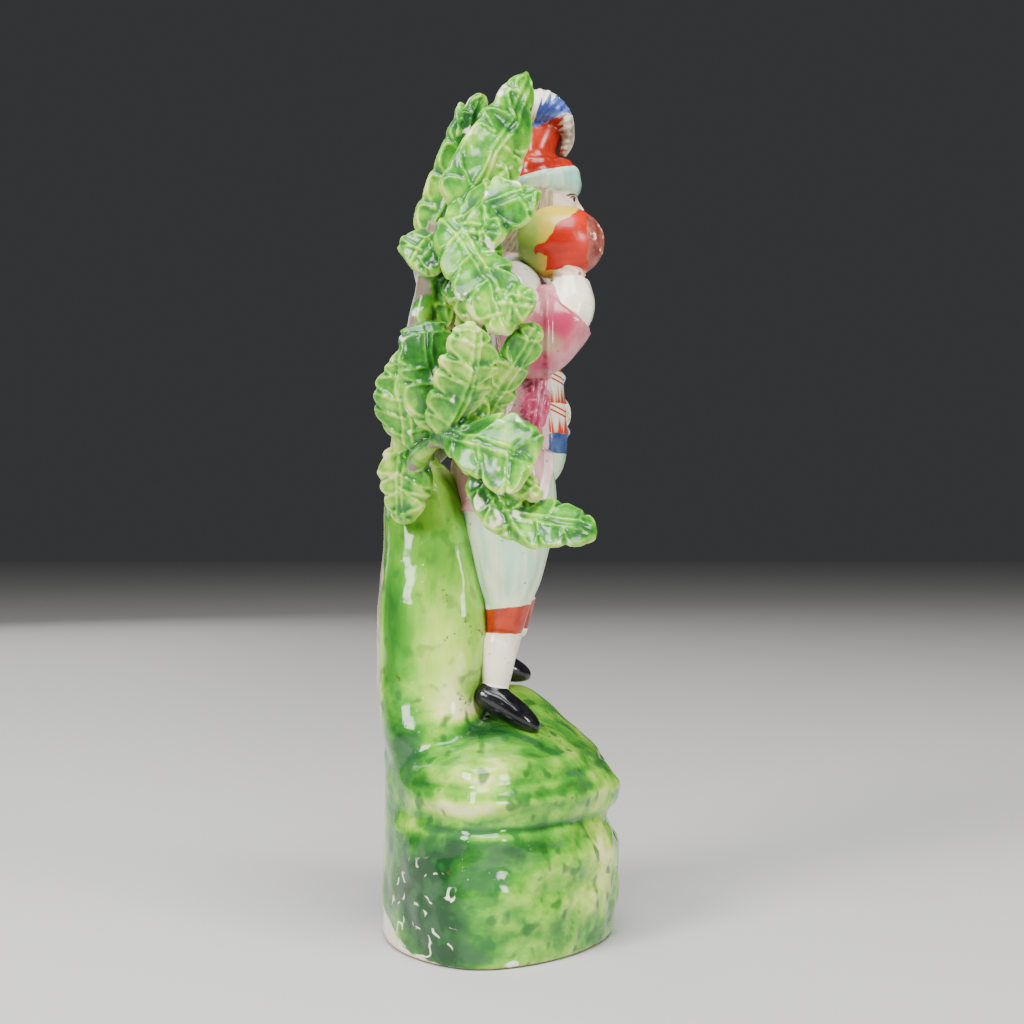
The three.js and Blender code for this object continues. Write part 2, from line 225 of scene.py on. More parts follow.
class Skin:
    """The outside of several overlapping shapes, fused as one surface. Points are in millimetres."""

    def __init__(self, shapes, voxel):
        points, faces, start = [], [], 0
        for shape_points, shape_faces in shapes:
            points.extend(np.asarray(shape_points).tolist())
            faces.extend([tuple(start + i for i in face) for face in shape_faces])
            start += len(shape_points)
        rough = bpy.data.meshes.new("rough")
        rough.from_pydata(points, [], faces)
        blank = bpy.data.objects.new("rough", rough)
        bpy.context.scene.collection.objects.link(blank)
        fusing = blank.modifiers.new("fusing", "REMESH")
        fusing.mode = "VOXEL"
        fusing.voxel_size = voxel
        mesh = blank.evaluated_get(bpy.context.evaluated_depsgraph_get()).to_mesh()
        self.points = np.empty(len(mesh.vertices) * 3)
        mesh.vertices.foreach_get("co", self.points)
        self.points = self.points.reshape(-1, 3)
        self.faces = [tuple(face.vertices) for face in mesh.polygons]
        edges = np.empty(len(mesh.edges) * 2, int)
        mesh.edges.foreach_get("vertices", edges)
        self.edges = edges.reshape(-1, 2)
        bpy.data.objects.remove(blank)
        bpy.data.meshes.remove(rough)
        self.values = {}

    def smoothed(self, values, times):
        """Values at the points, averaged with those of the neighbours the given number of times."""
        values = np.asarray(values, float)
        a, b = self.edges.T
        count = np.bincount(self.edges.ravel(), minlength=len(self.points))
        for _ in range(times):
            columns = []
            for column in values.reshape(len(values), -1).T:
                total = np.bincount(a, column[b], len(count)) + np.bincount(b, column[a], len(count))
                columns.append(0.5 * column + 0.5 * total / count)
            values = np.stack(columns, axis=1).reshape(values.shape)
        return values

    def normals(self):
        corners = np.array([face[:4] if len(face) > 3 else (*face, face[2]) for face in self.faces])
        first, second = self.points[corners[:, 2]] - self.points[corners[:, 0]], (
            self.points[corners[:, 3]] - self.points[corners[:, 1]]
        )
        across = np.cross(first, second)
        total = np.zeros_like(self.points)
        for corner in range(4):
            for axis in range(3):
                total[:, axis] += np.bincount(corners[:, corner], across[:, axis], len(total))
        return total / np.maximum(np.linalg.norm(total, axis=1), 1e-12)[:, None]

    def relax(self, times):
        self.points = self.smoothed(self.points, times)

    def push(self, distance):
        """Moves the points outwards by their distances in millimetres."""
        self.points = self.points + self.normals() * np.asarray(distance)[:, None]

    def hollow(self, times):
        """How deep each point lies in a hollow, in millimetres. Ridges are below zero."""
        return np.sum((self.smoothed(self.points, times) - self.points) * self.normals(), axis=1)

    def nearness(self, shapes):
        """The distance from each point to the nearest of the shapes."""
        trees = [BVHTree.FromPolygons(np.asarray(p).tolist(), f) for p, f in shapes]
        found = []
        for point in self.points.tolist():
            found.append(min(tree.find_nearest(point)[3] for tree in trees))
        return np.array(found)

    def piece(self, name, material):
        """The finished piece in metres, with the values kept as attributes. It rides on the frame."""
        mesh = bpy.data.meshes.new(name)
        mesh.from_pydata((self.points * millimetre).tolist(), [], self.faces)
        for key, values in self.values.items():
            kept = mesh.attributes.new(key, "FLOAT", "POINT")
            kept.data.foreach_set("value", np.asarray(values, np.float32))
        mesh.shade_smooth()
        mesh.materials.append(material)
        made = bpy.data.objects.new(name, mesh)
        bpy.context.scene.collection.objects.link(made)
        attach(made, "root")
        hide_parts("bocage_figure")
        return made


# Sizes of the mound in millimetres, as in the frame.
base_half_width = 34.8
base_half_depth = 22.8
base_centre_y = 1
base_roundness = 1.7
base_turn = math.radians(-6)
knoll_x, knoll_y, knoll_spread, knoll_rise = 9, -4, 8, 6
detail = 1

# Rows of [part of the plan's radius, height] on the front, the sides and the back.
mound_rows = [
    (1.0, 0, 1.0, 0, 1.0, 0),
    (1.07, 9, 1.02, 10, 1.0, 10),
    (1.07, 17, 1.0, 18, 1.0, 18),
    (1.02, 21.5, 0.985, 24, 0.995, 25),
    (0.96, 24, 0.95, 26.5, 0.99, 29.5),
    (1.07, 27, 0.975, 29.5, 0.985, 33),
    (1.06, 31, 0.945, 34, 0.98, 36),
    (0.91, 34.8, 0.83, 38, 0.9, 39),
    (0.7, 37.5, 0.66, 40.5, 0.7, 41.5),
    (0.45, 40.5, 0.42, 42.5, 0.4, 43),
    (0.2, 43, 0.2, 43.5, 0.2, 43.5),
]
stump_rows = [
    (24, 10.5, 19, 7.5),
    (38, 12.8, 21, 10.6),
    (47, 14.2, 18.6, 10.8),
    (56, 13.2, 17.6, 12),
    (66, 13, 16.8, 12),
    (77, 13.6, 14.5, 10.2),
    (84.5, 14.8, 12, 8.8),
    (90, 16, 10, 6.8),
    (93.4, 16.8, 7.5, 4.6),
    (94.8, 17.2, 4, 2.4),
]


def mound():
    turn = np.linspace(0, 2 * math.pi, 160, endpoint=False)
    across = np.abs(np.cos(turn - base_turn)) / base_half_width
    deep = np.abs(np.sin(turn - base_turn)) / base_half_depth
    plan = (across**base_roundness + deep**base_roundness) ** (-1 / base_roundness)
    sideways = np.cos(turn) ** 2
    rings = []
    for front, front_z, side, side_z, back, back_z in curve_rows(mound_rows, 6):
        part = np.where(np.sin(turn) < 0, front, back) * (1 - sideways) + side * sideways
        z = np.where(np.sin(turn) < 0, front_z, back_z) * (1 - sideways) + side_z * sideways
        x = part * plan * np.cos(turn)
        y = part * plan * np.sin(turn) + base_centre_y
        off = ((x - knoll_x) ** 2 + (y - knoll_y) ** 2) / (2 * knoll_spread**2)
        knoll = np.clip((z - 32) / 3, 0, 1) * knoll_rise * np.exp(-off)
        rings.append(np.stack([x, y, np.maximum(z, 0) + knoll], axis=1))
    return loft(rings)


def column(rows, around=96, steps=8, fold=None, roundness=2):
    """An upright shape from rows of [height, y, half width, half depth, x]."""
    turn = np.linspace(0, 2 * math.pi, around, endpoint=False)
    side = np.sign(np.cos(turn)) * np.abs(np.cos(turn)) ** (2 / roundness)
    front = np.sign(np.sin(turn)) * np.abs(np.sin(turn)) ** (2 / roundness)
    rows = [(*row, 0)[:5] for row in rows]
    rings = []
    for z, y, half_width, half_depth, x in curve_rows(rows, steps):
        out = 1 + (fold(turn, z) if fold else 0)
        ring = [x + out * half_width * side, y + out * half_depth * front, np.full(around, z)]
        rings.append(np.stack(ring, axis=1))
    return loft(rings)


def stump():
    return column(stump_rows, fold=lambda turn, z: 0.03 * np.cos(5 * turn + 0.6), roundness=2.4)


def near(value, middle_value, width):
    """1 at the middle value, falling off smoothly on both sides over the width."""
    return np.exp(-(((value - middle_value) / width) ** 2))


def bump(points, centre, radius):
    """1 at the centre, falling off smoothly over the radius, or over one radius for each axis."""
    return np.exp(-np.sum(((points - np.array(centre)) / np.array(radius)) ** 2, axis=1))


rock = Skin([mound(), stump()], 0.55 * detail)
rock.relax(14)
x, y, z = rock.points.T
off_ground = np.clip((z - 0.3) / 3, 0, 1)
on_mound = np.clip((46 - z) / 8, 0, 1) * off_ground
on_stump = np.clip((z - 46) / 8, 0, 1)
front_wall = np.clip((4 - y) / 14, 0, 1) * np.clip((26 - z) / 3, 0, 1)
ledge_steps = 0.55 * near(z, 36.5 - 0.05 * y, 1.2) - 0.4 * near(z, 33.8 - 0.05 * y, 0.8)
ledge_steps += 0.45 * near(z, 30.2, 1.1) - 0.35 * near(z, 25.2, 0.7)
ledge_steps += 0.45 * near(z, 41.5 + 0.1 * y, 1.3) - 0.35 * near(z, 39.3 + 0.1 * y, 0.8)
ledge_steps *= np.clip((19 - y) / 6, 0, 1)
flat_lumps = rock.points * (1, 1, 2)
tall_lumps = rock.points * (1, 1, 0.35)
rock.push(
    on_mound * (0.5 * lumps(flat_lumps, 9, 1) + 0.25 * lumps(rock.points, 4, 2))
    + on_mound * ledge_steps * (0.75 + 0.5 * lumps(rock.points, 9, 7))
    + front_wall * off_ground * (0.35 * lumps(rock.points, 4.5, 3) + 0.22 * lumps(rock.points, 2.1, 4))
    + on_stump * (0.4 * lumps(tall_lumps, 6, 5) + 0.14 * lumps(rock.points, 3.4, 6))
)
rock.points[:, 2] = np.maximum(rock.points[:, 2], 0)

# Where the glaze pooled (above zero) or ran thin (below zero) on a side: the middle's y and height,
# the half width and half height, and how much.
glaze_pools = [
    (-5, 22, 8.5, 2.2, 0.5),
    (8.5, 23.2, 2.5, 1.6, 0.35),
    (-2, 25.4, 15, 0.6, 0.25),
    (15, 14, 7, 9, 0.75),
    (10.5, 6, 6, 7, 0.6),
    (0, 8, 6, 5, 0.16),
    (19, 39.5, 3.5, 6, 0.5),
    (14, 34, 4, 3, 0.25),
    (3, 42.3, 9, 1.8, 0.42),
    (-8, 39.5, 4, 2.4, 0.34),
    (-4, 30.4, 1.7, 1.3, 0.36),
    (-11, 31, 6, 1.8, 0.16),
    (-5.5, 48.5, 1.8, 1.3, 0.4),
    (-16, 38.5, 1.5, 4, 0.35),
    (5, 1, 9, 4, 0.2),
    (11, 46, 4, 4.5, -0.34),
    (-13, 44, 4, 5.5, -0.36),
    (0, 37.3, 3.5, 1.6, -0.2),
    (3, 34.2, 7, 1.4, -0.38),
    (8, 29, 10, 1.2, -0.45),
    (16.6, 25, 3, 1.5, -0.36),
    (-19, 17, 3, 9, -0.34),
    (-12, 12, 8, 3, -0.2),
    (9, 57, 6, 10, -0.16),
    (21.5, 64, 2.6, 18, 0.34),
    (14, 76, 6, 5, 0.1),
    (-1, 62, 3, 9, 0.12),
    (5, 45.4, 4.5, 2, -0.35),
]
x, y, z = rock.points.T
poured = np.zeros(len(rock.points))
for pool_y, pool_z, pool_width, pool_height, amount in glaze_pools:
    shift = np.where(x < 0, 0, 3.5)
    across = (y - pool_y + shift) / pool_width
    poured += amount * np.exp(-(across**2) - ((z - pool_z - 0.5 * shift) / pool_height) ** 2)
sole_line = near(z, 44.6 + 0.39 * y, 1.3) * np.clip(1.6 - np.abs(y) / 7, 0, 1)
poured -= 0.5 * sole_line * np.clip((-7 - x) / 2, 0, 1)
poured -= 0.4 * np.clip((y - 22.6) / 1.2, 0, 1)
rock.values["poured"] = poured * np.clip((np.abs(x) - 4) / 8, 0.25, 1)
rock.values["up_stump"] = np.clip((z - 46) / 10, 0, 1)
rock.values["hollow"] = rock.hollow(12)
bare_back = np.where(y > 10, 1.5 - 1.3 * np.hypot((x + 1) / 8, (z - 63) / 15), -2)
foot_chips = sum(bump(rock.points, (-33, *chip), (3, 1.5, 0.9)) for chip in ((-2.3, 0.8), (-6.6, 1.8)))
bare_corner = 0.12 * (y - 8.7) + 0.09 * np.maximum(y - 15.5, 0) ** 2 - z
rock.values["unglazed"] = np.max([bare_corner, bare_back, 2 * foot_chips - 1], axis=0)
rock.values["foot"] = 0.55 - z
crawled = np.clip(1.2 - np.hypot((y - 14.5) / 7, (z - 9) / 10), 0, 1)
rock.values["crawled"] = crawled * np.clip(-x / 5, 0, 1)


def new_material(name):
    """A material with its shader, and a field to start its nodes from."""
    made = bpy.data.materials.new(name)
    made.use_nodes = True
    shader = made.node_tree.nodes["Principled BSDF"]
    return made, shader, Field(made.node_tree)


def attribute(start, name):
    return start.node("ShaderNodeAttribute", {"attribute_name": name}, output="Fac")


def noise(start, place, scale, detail_levels=2.0, roughness=0.5, seed=0.0):
    """Fractal noise around 0.5, with about the given number of lumps in a metre."""
    shifted = place.vector("ADD", place, (seed, seed * 0.7, -seed))
    values = {"Vector": shifted, "Scale": scale, "Detail": detail_levels, "Roughness": roughness}
    return start.node("ShaderNodeTexNoise", {"noise_dimensions": "3D"}, values, "Fac")


def link(field, socket):
    field.tree.links.new(field.socket, socket)


def glaze(shader, start, place, colour, ripple, dullness=0.06, coat=0.3):
    """A glossy lead glaze over a colour: nearly smooth, with slow ripples and fine pits."""
    link(colour, shader.inputs["Base Color"])
    pits = noise(start, place, 900, 2, 0.6, 3.1).step(0.62, 0.78)
    rough = pits * 0.14 + noise(start, place, 160, 2, 0.5, 1.7) * 0.08 + dullness
    link(rough, shader.inputs["Roughness"])
    waves = noise(start, place, 210, 2, 0.45, 5.3) * ripple + noise(start, place, 700, 1, 0.5, 2.2) * 0.06
    height = waves - pits * 0.12
    bumps = start.node("ShaderNodeBump", None, {"Height": height, "Distance": 0.0006, "Strength": 0.5})
    link(bumps, shader.inputs["Normal"])
    shader.inputs["IOR"].default_value = 1.5
    shader.inputs["Specular IOR Level"].default_value = 0.35
    shader.inputs["Coat Weight"].default_value = coat
    shader.inputs["Coat Roughness"].default_value = 0.05


def clay_body(start, place):
    """Cream clay under clear glaze: a little grey-blue here and there, with rare brown specks."""
    mottle = noise(start, place, 130, 3, 0.6, 9.2)
    warm = start.mix((0.74, 0.67, 0.49, 1), mottle.step(0.45, 0.7), (0.84, 0.80, 0.62, 1))
    cool = warm.mix((0.66, 0.72, 0.64, 1), noise(start, place, 60, 2, 0.5, 4.4).step(0.55, 0.75) * 0.5)
    specks = noise(start, place, 1500, 1, 0.4, 7.7).step(0.76, 0.8)
    return cool.mix((0.12, 0.06, 0.03, 1), specks * 0.7)


def copper_green(start, place, depth, flow=(1, 1, 0.55), unrest=1.0):
    """Copper-green glaze: pale yellow where it thins over ridges, deep or bluish where it pools."""
    running = place.vector("MULTIPLY", place, flow)
    broad = noise(start, running, 105, 2, 0.5, 2.6) - 0.5
    blots = noise(start, running, 300, 3, 0.6, 6.1).step(0.34, 0.66) - 0.5
    fine = noise(start, running, 900, 2, 0.6, 3.6) - 0.5
    depth = depth + (broad * 1.05 + blots * 0.2 + fine * 0.12) * unrest
    stops = [
        (0.0, (0.68, 0.70, 0.30)),
        (0.2, (0.42, 0.60, 0.085)),
        (0.4, (0.18, 0.44, 0.030)),
        (0.6, (0.055, 0.26, 0.018)),
        (0.8, (0.022, 0.12, 0.016)),
        (1.0, (0.010, 0.055, 0.014)),
    ]
    ramp = start.node("ShaderNodeValToRGB", {"stops": stops}, {"Fac": depth}, "Color")
    bluish = noise(start, running, 170, 2, 0.5, 8.8).step(0.5, 0.62) * depth.step(0.45, 0.7)
    return ramp.mix((0.04, 0.115, 0.045, 1), bluish * 0.6)


rock_glaze, rock_shader, start = new_material("copper_green_rock")
place = start.node("ShaderNodeTexCoord", output="Object")
depth = attribute(start, "hollow") * 0.9 + attribute(start, "poured") + 0.48
up_stump = attribute(start, "up_stump")
colour = copper_green(start, place, depth, (1, 0.55, 1), 0.95).mix(
    copper_green(start, place, depth - 0.08, (1, 1, 0.3), 0.6), up_stump
)
dots = noise(start, place, 330, 1.0, 0.3, 4.2).step(0.58, 0.72) * (1 - up_stump * 0.5)
colour = colour.mix((0.018, 0.115, 0.022, 1), dots * 0.8)
body = clay_body(start, place)
worms = abs(noise(start, place, 210, 1.0, 0.4, 5.7) - 0.5)
islands = noise(start, place, 330, 1.0, 0.4, 2.1).step(0.53, 0.58)
crawled = (0.034 - worms).step(0, 0.014) * islands * attribute(start, "crawled").step(0.05, 0.35)
colour = colour.mix(body, crawled)
burnt = noise(start, place, 1100, 2, 0.5, 1.9).step(0.6, 0.68)
burnt = burnt * noise(start, place, 120, 2, 0.5, 8.1).step(0.6, 0.68)
colour = colour.mix((0.08, 0.05, 0.015, 1), burnt * 0.8)
drips = noise(start, place.vector("MULTIPLY", place, (1, 1, 0.1)), 150, 2, 0.5, 3.3)
ragged = attribute(start, "unglazed") + (drips - 0.5) * 3.5
colour = colour.mix(body, ragged.step(-0.1, 0.35))
foot_line = (attribute(start, "foot") + noise(start, place, 300, 2, 0.5, 2.7) - 0.5).step(0, 0.3)
colour = colour.mix((0.24, 0.16, 0.09, 1), foot_line * 0.7)
glaze(rock_shader, start, place, colour, 0.5, coat=0.12)
rock.piece("mound_and_stump", rock_glaze)


# The person: pressed in a two-part mould, a little under life's proportions in the legs, and painted
# in enamels over the glaze. Pink coat, turquoise breeches, flame-striped waistcoat, cream stockings.
def limb(stops, across, around=40, steps=8, roundness=2):
    """A round shape along a smooth path of [x, y, z, half width, half depth] stops."""
    rows = curve_rows([(*stop, stop[3])[:5] for stop in stops], steps)
    along = np.gradient(rows[:, :3], axis=0)
    along /= np.linalg.norm(along, axis=1)[:, None]
    front = np.cross(np.array(across, float), along)
    front /= np.linalg.norm(front, axis=1)[:, None]
    side = np.cross(along, front)
    turn = np.linspace(0, 2 * math.pi, around, endpoint=False)
    wide = np.sign(np.cos(turn)) * np.abs(np.cos(turn)) ** (2 / roundness)
    deep = np.sign(np.sin(turn)) * np.abs(np.sin(turn)) ** (2 / roundness)
    rings = rows[:, None, :3] + side[:, None] * (rows[:, 3, None] * wide)[..., None]
    return loft(rings + front[:, None] * (rows[:, 4, None] * deep)[..., None])


def moved(shape, slope, toe_out, place):
    """A shape turned about X, then about Z, and then set in its place."""
    points, faces = shape
    cos, sin = math.cos(slope), math.sin(slope)
    about_x = np.array([[1, 0, 0], [0, cos, -sin], [0, sin, cos]])
    cos, sin = math.cos(toe_out), math.sin(toe_out)
    about_z = np.array([[cos, -sin, 0], [sin, cos, 0], [0, 0, 1]])
    return points @ about_x.T @ about_z.T + np.array(place), faces


sole_height, knee_height, hem_height, waist_height, shoulder_height = 45, 65, 84, 106, 130
chin_height, hat_brim_height, hat_top_height, leg_spacing = 139, 147.5, 163, 10.5


def stocking(x, y, foot):
    stops = [
        (x, y + 1.2, foot + 2.5, 2.4),
        (x, y + 1, foot + 6, 3.2),
        (x, y + 0.6, foot + 11, 3.7),
        (x, y - 0.2, knee_height - 5, 3.4),
        (x, y - 1, knee_height + 2, 4.4),
    ]
    return limb(stops, (1, 0, 0))


def breeches_leg(side, knee, y):
    stops = [
        (side * leg_spacing, y + 0.9, knee, 4.1, 3.6),
        (side * 10.3, y + 0.2, knee + 5, 5.2, 4.5),
        (side * 9.5, y - 0.1, knee + 12, 7.6, 6.8),
        (side * 7.6, -1.5, hem_height, 8.6, 9.2),
        (side * 6.8, -1, hem_height + 8, 8.6, 9),
        (side * 6, -0.6, hem_height + 14, 7, 7),
    ]
    return limb(stops, (1, 0, 0), 64)


def shoe(slope, toe_out, place, size=1.0):
    rows = [
        (5.9, 1.2, 0.7, 2.6),
        (5.4, 2.2, 1.7, 2.6),
        (4.4, 2.8, 2.4, 2.6),
        (1.0, 3.2, 2.9, 2.5),
        (-3.0, 3.5, 2.6, 1.9),
        (-6.2, 3.0, 1.9, 1.3),
        (-7.8, 1.9, 1.2, 0.95),
        (-8.4, 0.8, 0.5, 0.8),
    ]
    turn = np.linspace(0, 2 * math.pi, 40, endpoint=False)
    rings = []
    for back, half_width, half_height, up in curve_rows(rows, 6):
        ring = [half_width * np.cos(turn), np.full(40, back), up + half_height * np.sin(turn)]
        rings.append(np.stack(ring, axis=1) * size)
    return moved(loft(rings), slope, toe_out, place)


def coat_fold(turn, z):
    skirts = max(0, (waist_height - z) / 22)
    opening = np.clip((-np.sin(turn) - 0.86) / 0.1, 0, 1) * np.clip((99 - z) / 4, 0, 1)
    return 0.035 * skirts * np.cos(9 * turn) - 0.16 * opening


coat_rows = [
    (hem_height, -1.2, 18, 9.1),
    (hem_height + 4, -0.5, 18.2, 9.8),
    (hem_height + 9, 0.2, 17, 10),
    (hem_height + 15, -1, 14.8, 9),
    (waist_height, -3.4, 13.2, 6.8),
    (waist_height + 7, -3.8, 14, 6.6),
    (waist_height + 15, -3.6, 16, 6.6),
    (shoulder_height - 2, -3.2, 17, 6),
    (shoulder_height + 2, -3, 13, 5.2),
    (shoulder_height + 5, -3.4, 7, 4.4),
    (shoulder_height + 6.5, -3.6, 5.2, 4.2),
]
# The upper and lower part of the right sleeve, the cloth in its bend, and the parts of the left.
sleeves = [
    [
        (-9, -2.8, 128, 4),
        (-14, -2.6, 127.2, 5.2),
        (-18.5, -3.4, 121, 5),
        (-20.5, -4.4, 112.6, 4.6),
        (-20.6, -5.2, 110.8, 3),
    ],
    [(-20.6, -3, 112.6, 3), (-20.5, -4.8, 113, 4.4), (-20, -8.5, 115, 5), (-18.6, -12.8, 121, 5.4)],
    [(-20.4, -6.2, 111, 3.4), (-20, -7.4, 116, 4.8), (-19, -8.2, 121.5, 4.8), (-17, -7.6, 126, 3.4)],
    [
        (9, -2.8, 128, 4),
        (14, -2.6, 127.2, 5.2),
        (19, -2.6, 120, 5),
        (21.5, -2.2, 110.5, 4.6),
        (21.8, -2.4, 108, 3),
    ],
    [(21.8, 0, 111, 3), (21.5, -2, 110.8, 4.6), (18.5, -6.5, 106.5, 4.4), (13.5, -10, 104, 3.8)],
]
sideways = (1, 0, 0)
person_shapes = {
    "stockings": [
        stocking(-leg_spacing, 0, sole_height + 2),
        stocking(leg_spacing - 1, -1.5, sole_height + 6.5),
    ],
    "breeches": [breeches_leg(-1, knee_height - 4, -1.3), breeches_leg(1, knee_height - 3, -2.1)],
    "shoes": [
        shoe(0.4, -0.15, (-leg_spacing - 1.2, 0.6, sole_height - 0.6)),
        shoe(0.12, 0.2, (leg_spacing - 1, 3.7, sole_height + 5.6), 1.15),
    ],
    "coat": [
        column(coat_rows, 120, 8, coat_fold),
        *[limb(stops, sideways) for stops in sleeves],
    ],
    "waistcoat": [
        limb(
            [
                (0, -5.2, 90, 5.5, 4),
                (0, -6.9, 95, 7.4, 5.8),
                (0, -7.2, 103, 7.8, 5.6),
                (0, -6.6, 113, 7.6, 5.2),
                (0, -5.6, 124, 6.4, 4.6),
                (0, -4.8, 131, 4, 3.6),
            ],
            sideways,
            64,
        )
    ],
    "ribbon": [
        limb(
            [
                (-14.6, -6.4, 111.5, 2.2, 1.4),
                (-15.4, -6.4, 107.5, 2.9, 2),
                (-15.9, -6.3, 102.5, 2.4, 1.9),
                (-16.2, -6, 98.6, 1.1, 1.2),
                (-16.2, -5.9, 97.4, 0.5, 0.6),
            ],
            (0, 1, 0),
        )
    ],
    "ruffles": [
        limb([(-18.8, -12.2, 119.4, 4.0), (-17.8, -13.2, 123.2, 4.7), (-16.2, -12.9, 128, 3.9)], sideways),
        limb([(14.8, -9.4, 104.6, 4.0), (13, -10.4, 103.9, 4.2), (12, -10.8, 103.6, 3.0)], (0, 0, 1)),
        limb([(0, -6.4, 129.5, 3.4, 2.6), (0, -8.2, 133, 3.8, 2.8), (0, -7.6, 136, 3.4, 2.6)], sideways),
    ],
    "hands": [
        limb([(-16.6, -13, 126.5, 2.8), (-14.4, -12.6, 130.5, 3.4), (-13, -12, 133, 2.6)], sideways),
        limb([(14.6, -9.6, 104.4, 2.6), (11, -11.2, 103.4, 2.7), (8.4, -11.8, 103, 1.6)], (0, 0, 1)),
    ],
}
person = Skin([shape for shapes in person_shapes.values() for shape in shapes], 0.42 * detail)
person.relax(2)
elbow_blend = np.clip(2 - np.linalg.norm((person.points - (-20, -6.5, 117)) / (6, 5, 7), axis=1), 0, 1)
person.points += (person.smoothed(person.points, 60) - person.points) * elbow_blend[:, None]
nearness = {name: person.nearness(shapes) for name, shapes in person_shapes.items()}


def own(distances, name):
    """Above zero where the named shape is the nearest one: half the distance to the next border."""
    others = np.min([values for key, values in distances.items() if key != name], axis=0)
    return others - distances[name]


x, y, z = person.points.T
mine = {name: own(nearness, name) for name in person_shapes}
for name, values in mine.items():
    person.values[name] = person.smoothed(values, 2)
side_x = np.abs(x)
coat_front = np.interp(z, [84, 87, 92, 99, 108], [-7.3, -8.7, -9.6, -9.9, -9.5])
behind_front = y - coat_front
skirt = np.minimum(np.maximum(mine["breeches"], mine["waistcoat"]), np.minimum(behind_front, z - hem_height))
between_legs = np.min([-4.5 - y, 5.5 - side_x, 96 - z], axis=0)
coat = np.minimum(np.maximum(mine["coat"], skirt), -between_legs)
is_coat = np.clip(coat / 0.4, 0, 1)
below_neck = np.clip((126 - z) / 3, 0, 1)
edge_roll = is_coat * below_neck * near(behind_front, 0.8, 0.55)
pockets = is_coat * near(z, 97, 0.5) * np.clip(1 - np.abs(side_x - 14.5) / 3, 0, 1) * (y < 2)
buttons = sum(bump(person.points, (0, -12.4, at), (0.9, 2.5, 0.9)) for at in (100, 105.3, 110.8, 116.5, 122))
coat_buttons = sum(
    bump(person.points, (s * (np.interp(at, [84, 103, 124], [8.6, 8.2, 6.8]) + 2.6), -9, at), (0.75, 4, 0.75))
    for at, s in itertools.product((101, 107, 113, 119), (-1, 1))
)
is_ribbon = np.clip(mine["ribbon"] / 0.3, 0, 1)
long_folds = np.cos(2 * math.pi * (y + 6.4 + 0.16 * (z - 104)) / 1.25)
short_folds = np.cos(2 * math.pi * (z + 0.5 * y) / 1.3)
puckered = np.clip(y + 6, 0, 1)
gathers = long_folds + puckered * (short_folds - long_folds) + 0.9 * lumps(person.points, 1.5, 15)
is_ruffle = np.clip(mine["ruffles"] / 0.3, 0, 1)
ruffle_turn = np.arctan2(y + 12.6, x + 17.6)
frills = is_ruffle * (np.cos(9 * ruffle_turn) + 0.6 * lumps(person.points, 2, 13))
is_breeches = np.clip(mine["breeches"] / 0.4, 0, 1)
knee_folds = is_breeches * near(z, 70, 6) * np.cos(2 * math.pi * x / 2.6 + 0.05 * z)
is_hand = np.clip(mine["hands"] / 0.3, 0, 1)
right_fingers = np.cos(2 * math.pi * (z - 0.4 * y) / 1.7)
left_fingers = np.cos(2 * math.pi * (z - 103) / 1.5)
fingers = is_hand * np.where(x < 0, right_fingers, left_fingers)
is_waistcoat = np.clip(mine["waistcoat"] / 0.4, 0, 1)
person.push(
    0.8 * edge_roll
    + 0.5 * np.clip(skirt / 0.4, 0, 1)
    + 0.3 * pockets
    + 0.75 * buttons * is_waistcoat
    + 0.45 * coat_buttons * is_coat
    + 0.38 * gathers * is_ribbon
    + 0.07 * frills
    + 0.14 * knee_folds
    + 0.22 * fingers
    + is_coat * 0.12 * lumps(person.points, 5, 11)
    + 0.06 * lumps(person.points, 2.5, 12)
)
person.values["pool"] = person.hollow(8)
garter_low, garter_high = 60.4, 65.8
person.values["garter"] = np.minimum(
    np.minimum(z - garter_low - 0.04 * (y + 3), garter_high - z - 0.1 * (y + 3)),
    0.8 + np.maximum(mine["stockings"], mine["breeches"]),
)
edging = np.min([0.4 - 0.5 * side_x, mine["waistcoat"], z - 99.6], axis=0)
person.values["buttons"] = np.maximum(buttons - 0.45, edging)
person.values["band"] = np.minimum(mine["waistcoat"], np.minimum(99.6 - z, z - 95.6))
person.values["waistcoat"] = np.minimum(person.values["waistcoat"], z - 99.4)
breeches = np.maximum(person.values["breeches"], np.minimum(mine["waistcoat"], 95.8 - z))
breeches = np.minimum(breeches, np.maximum(-behind_front, hem_height - z))
person.values["breeches"] = np.maximum(breeches, np.minimum(mine["coat"], between_legs))
person.values["coat"] = coat
near_sleeve = np.minimum(mine["coat"], np.clip((-15.5 - x), -2, 2))
mottled = 1.1 * lumps(person.points, 3.4, 14)
deep = np.maximum(1.2 - np.hypot(y + 10.6, z - 119.6) / 3.2, 0.9 - np.hypot(y + 8, z - 112.4) / 2.6)
person.values["sleeve"] = near_sleeve
person.values["deep_pink"] = np.minimum(near_sleeve, deep + 0.35 * mottled)
# Painted shadow: an olive patch in the hollow of the elbow's bend, with a painted green reflection of the
# leaves in it.
person.values["olive"] = np.minimum(near_sleeve, 0.8 - np.hypot(y + 9.2, z - 115.8) / 2.2 + 0.2 * mottled)
bare_shoulder = np.min([z - 124 + mottled, y + 7 + mottled, -7 - x + mottled], axis=0)
person.values["bare_shoulder"] = np.minimum(mine["coat"], bare_shoulder)
person.values["coat_edge"] = np.minimum(is_coat - 0.3, 0.95 - np.abs(behind_front - 0.95)) + below_neck - 1


def painted(base, start, place, key, thin, thick, brush=(1, 1, 1), cover=1.0):
    """Enamel over a colour where the named value is above zero: thin and thick in brush strokes."""
    wobble = (noise(start, place, 420, 2, 0.5, 1.1) - 0.5) * 0.5
    mask = (attribute(start, key) + wobble).step(-0.06, 0.1)
    strokes = noise(start, place.vector("MULTIPLY", place, brush), 260, 3, 0.6, 4.9)
    streaks = start.mix((*thick, 1), strokes.step(0.38, 0.64), (*thin, 1))
    return base.mix(streaks, mask * cover)


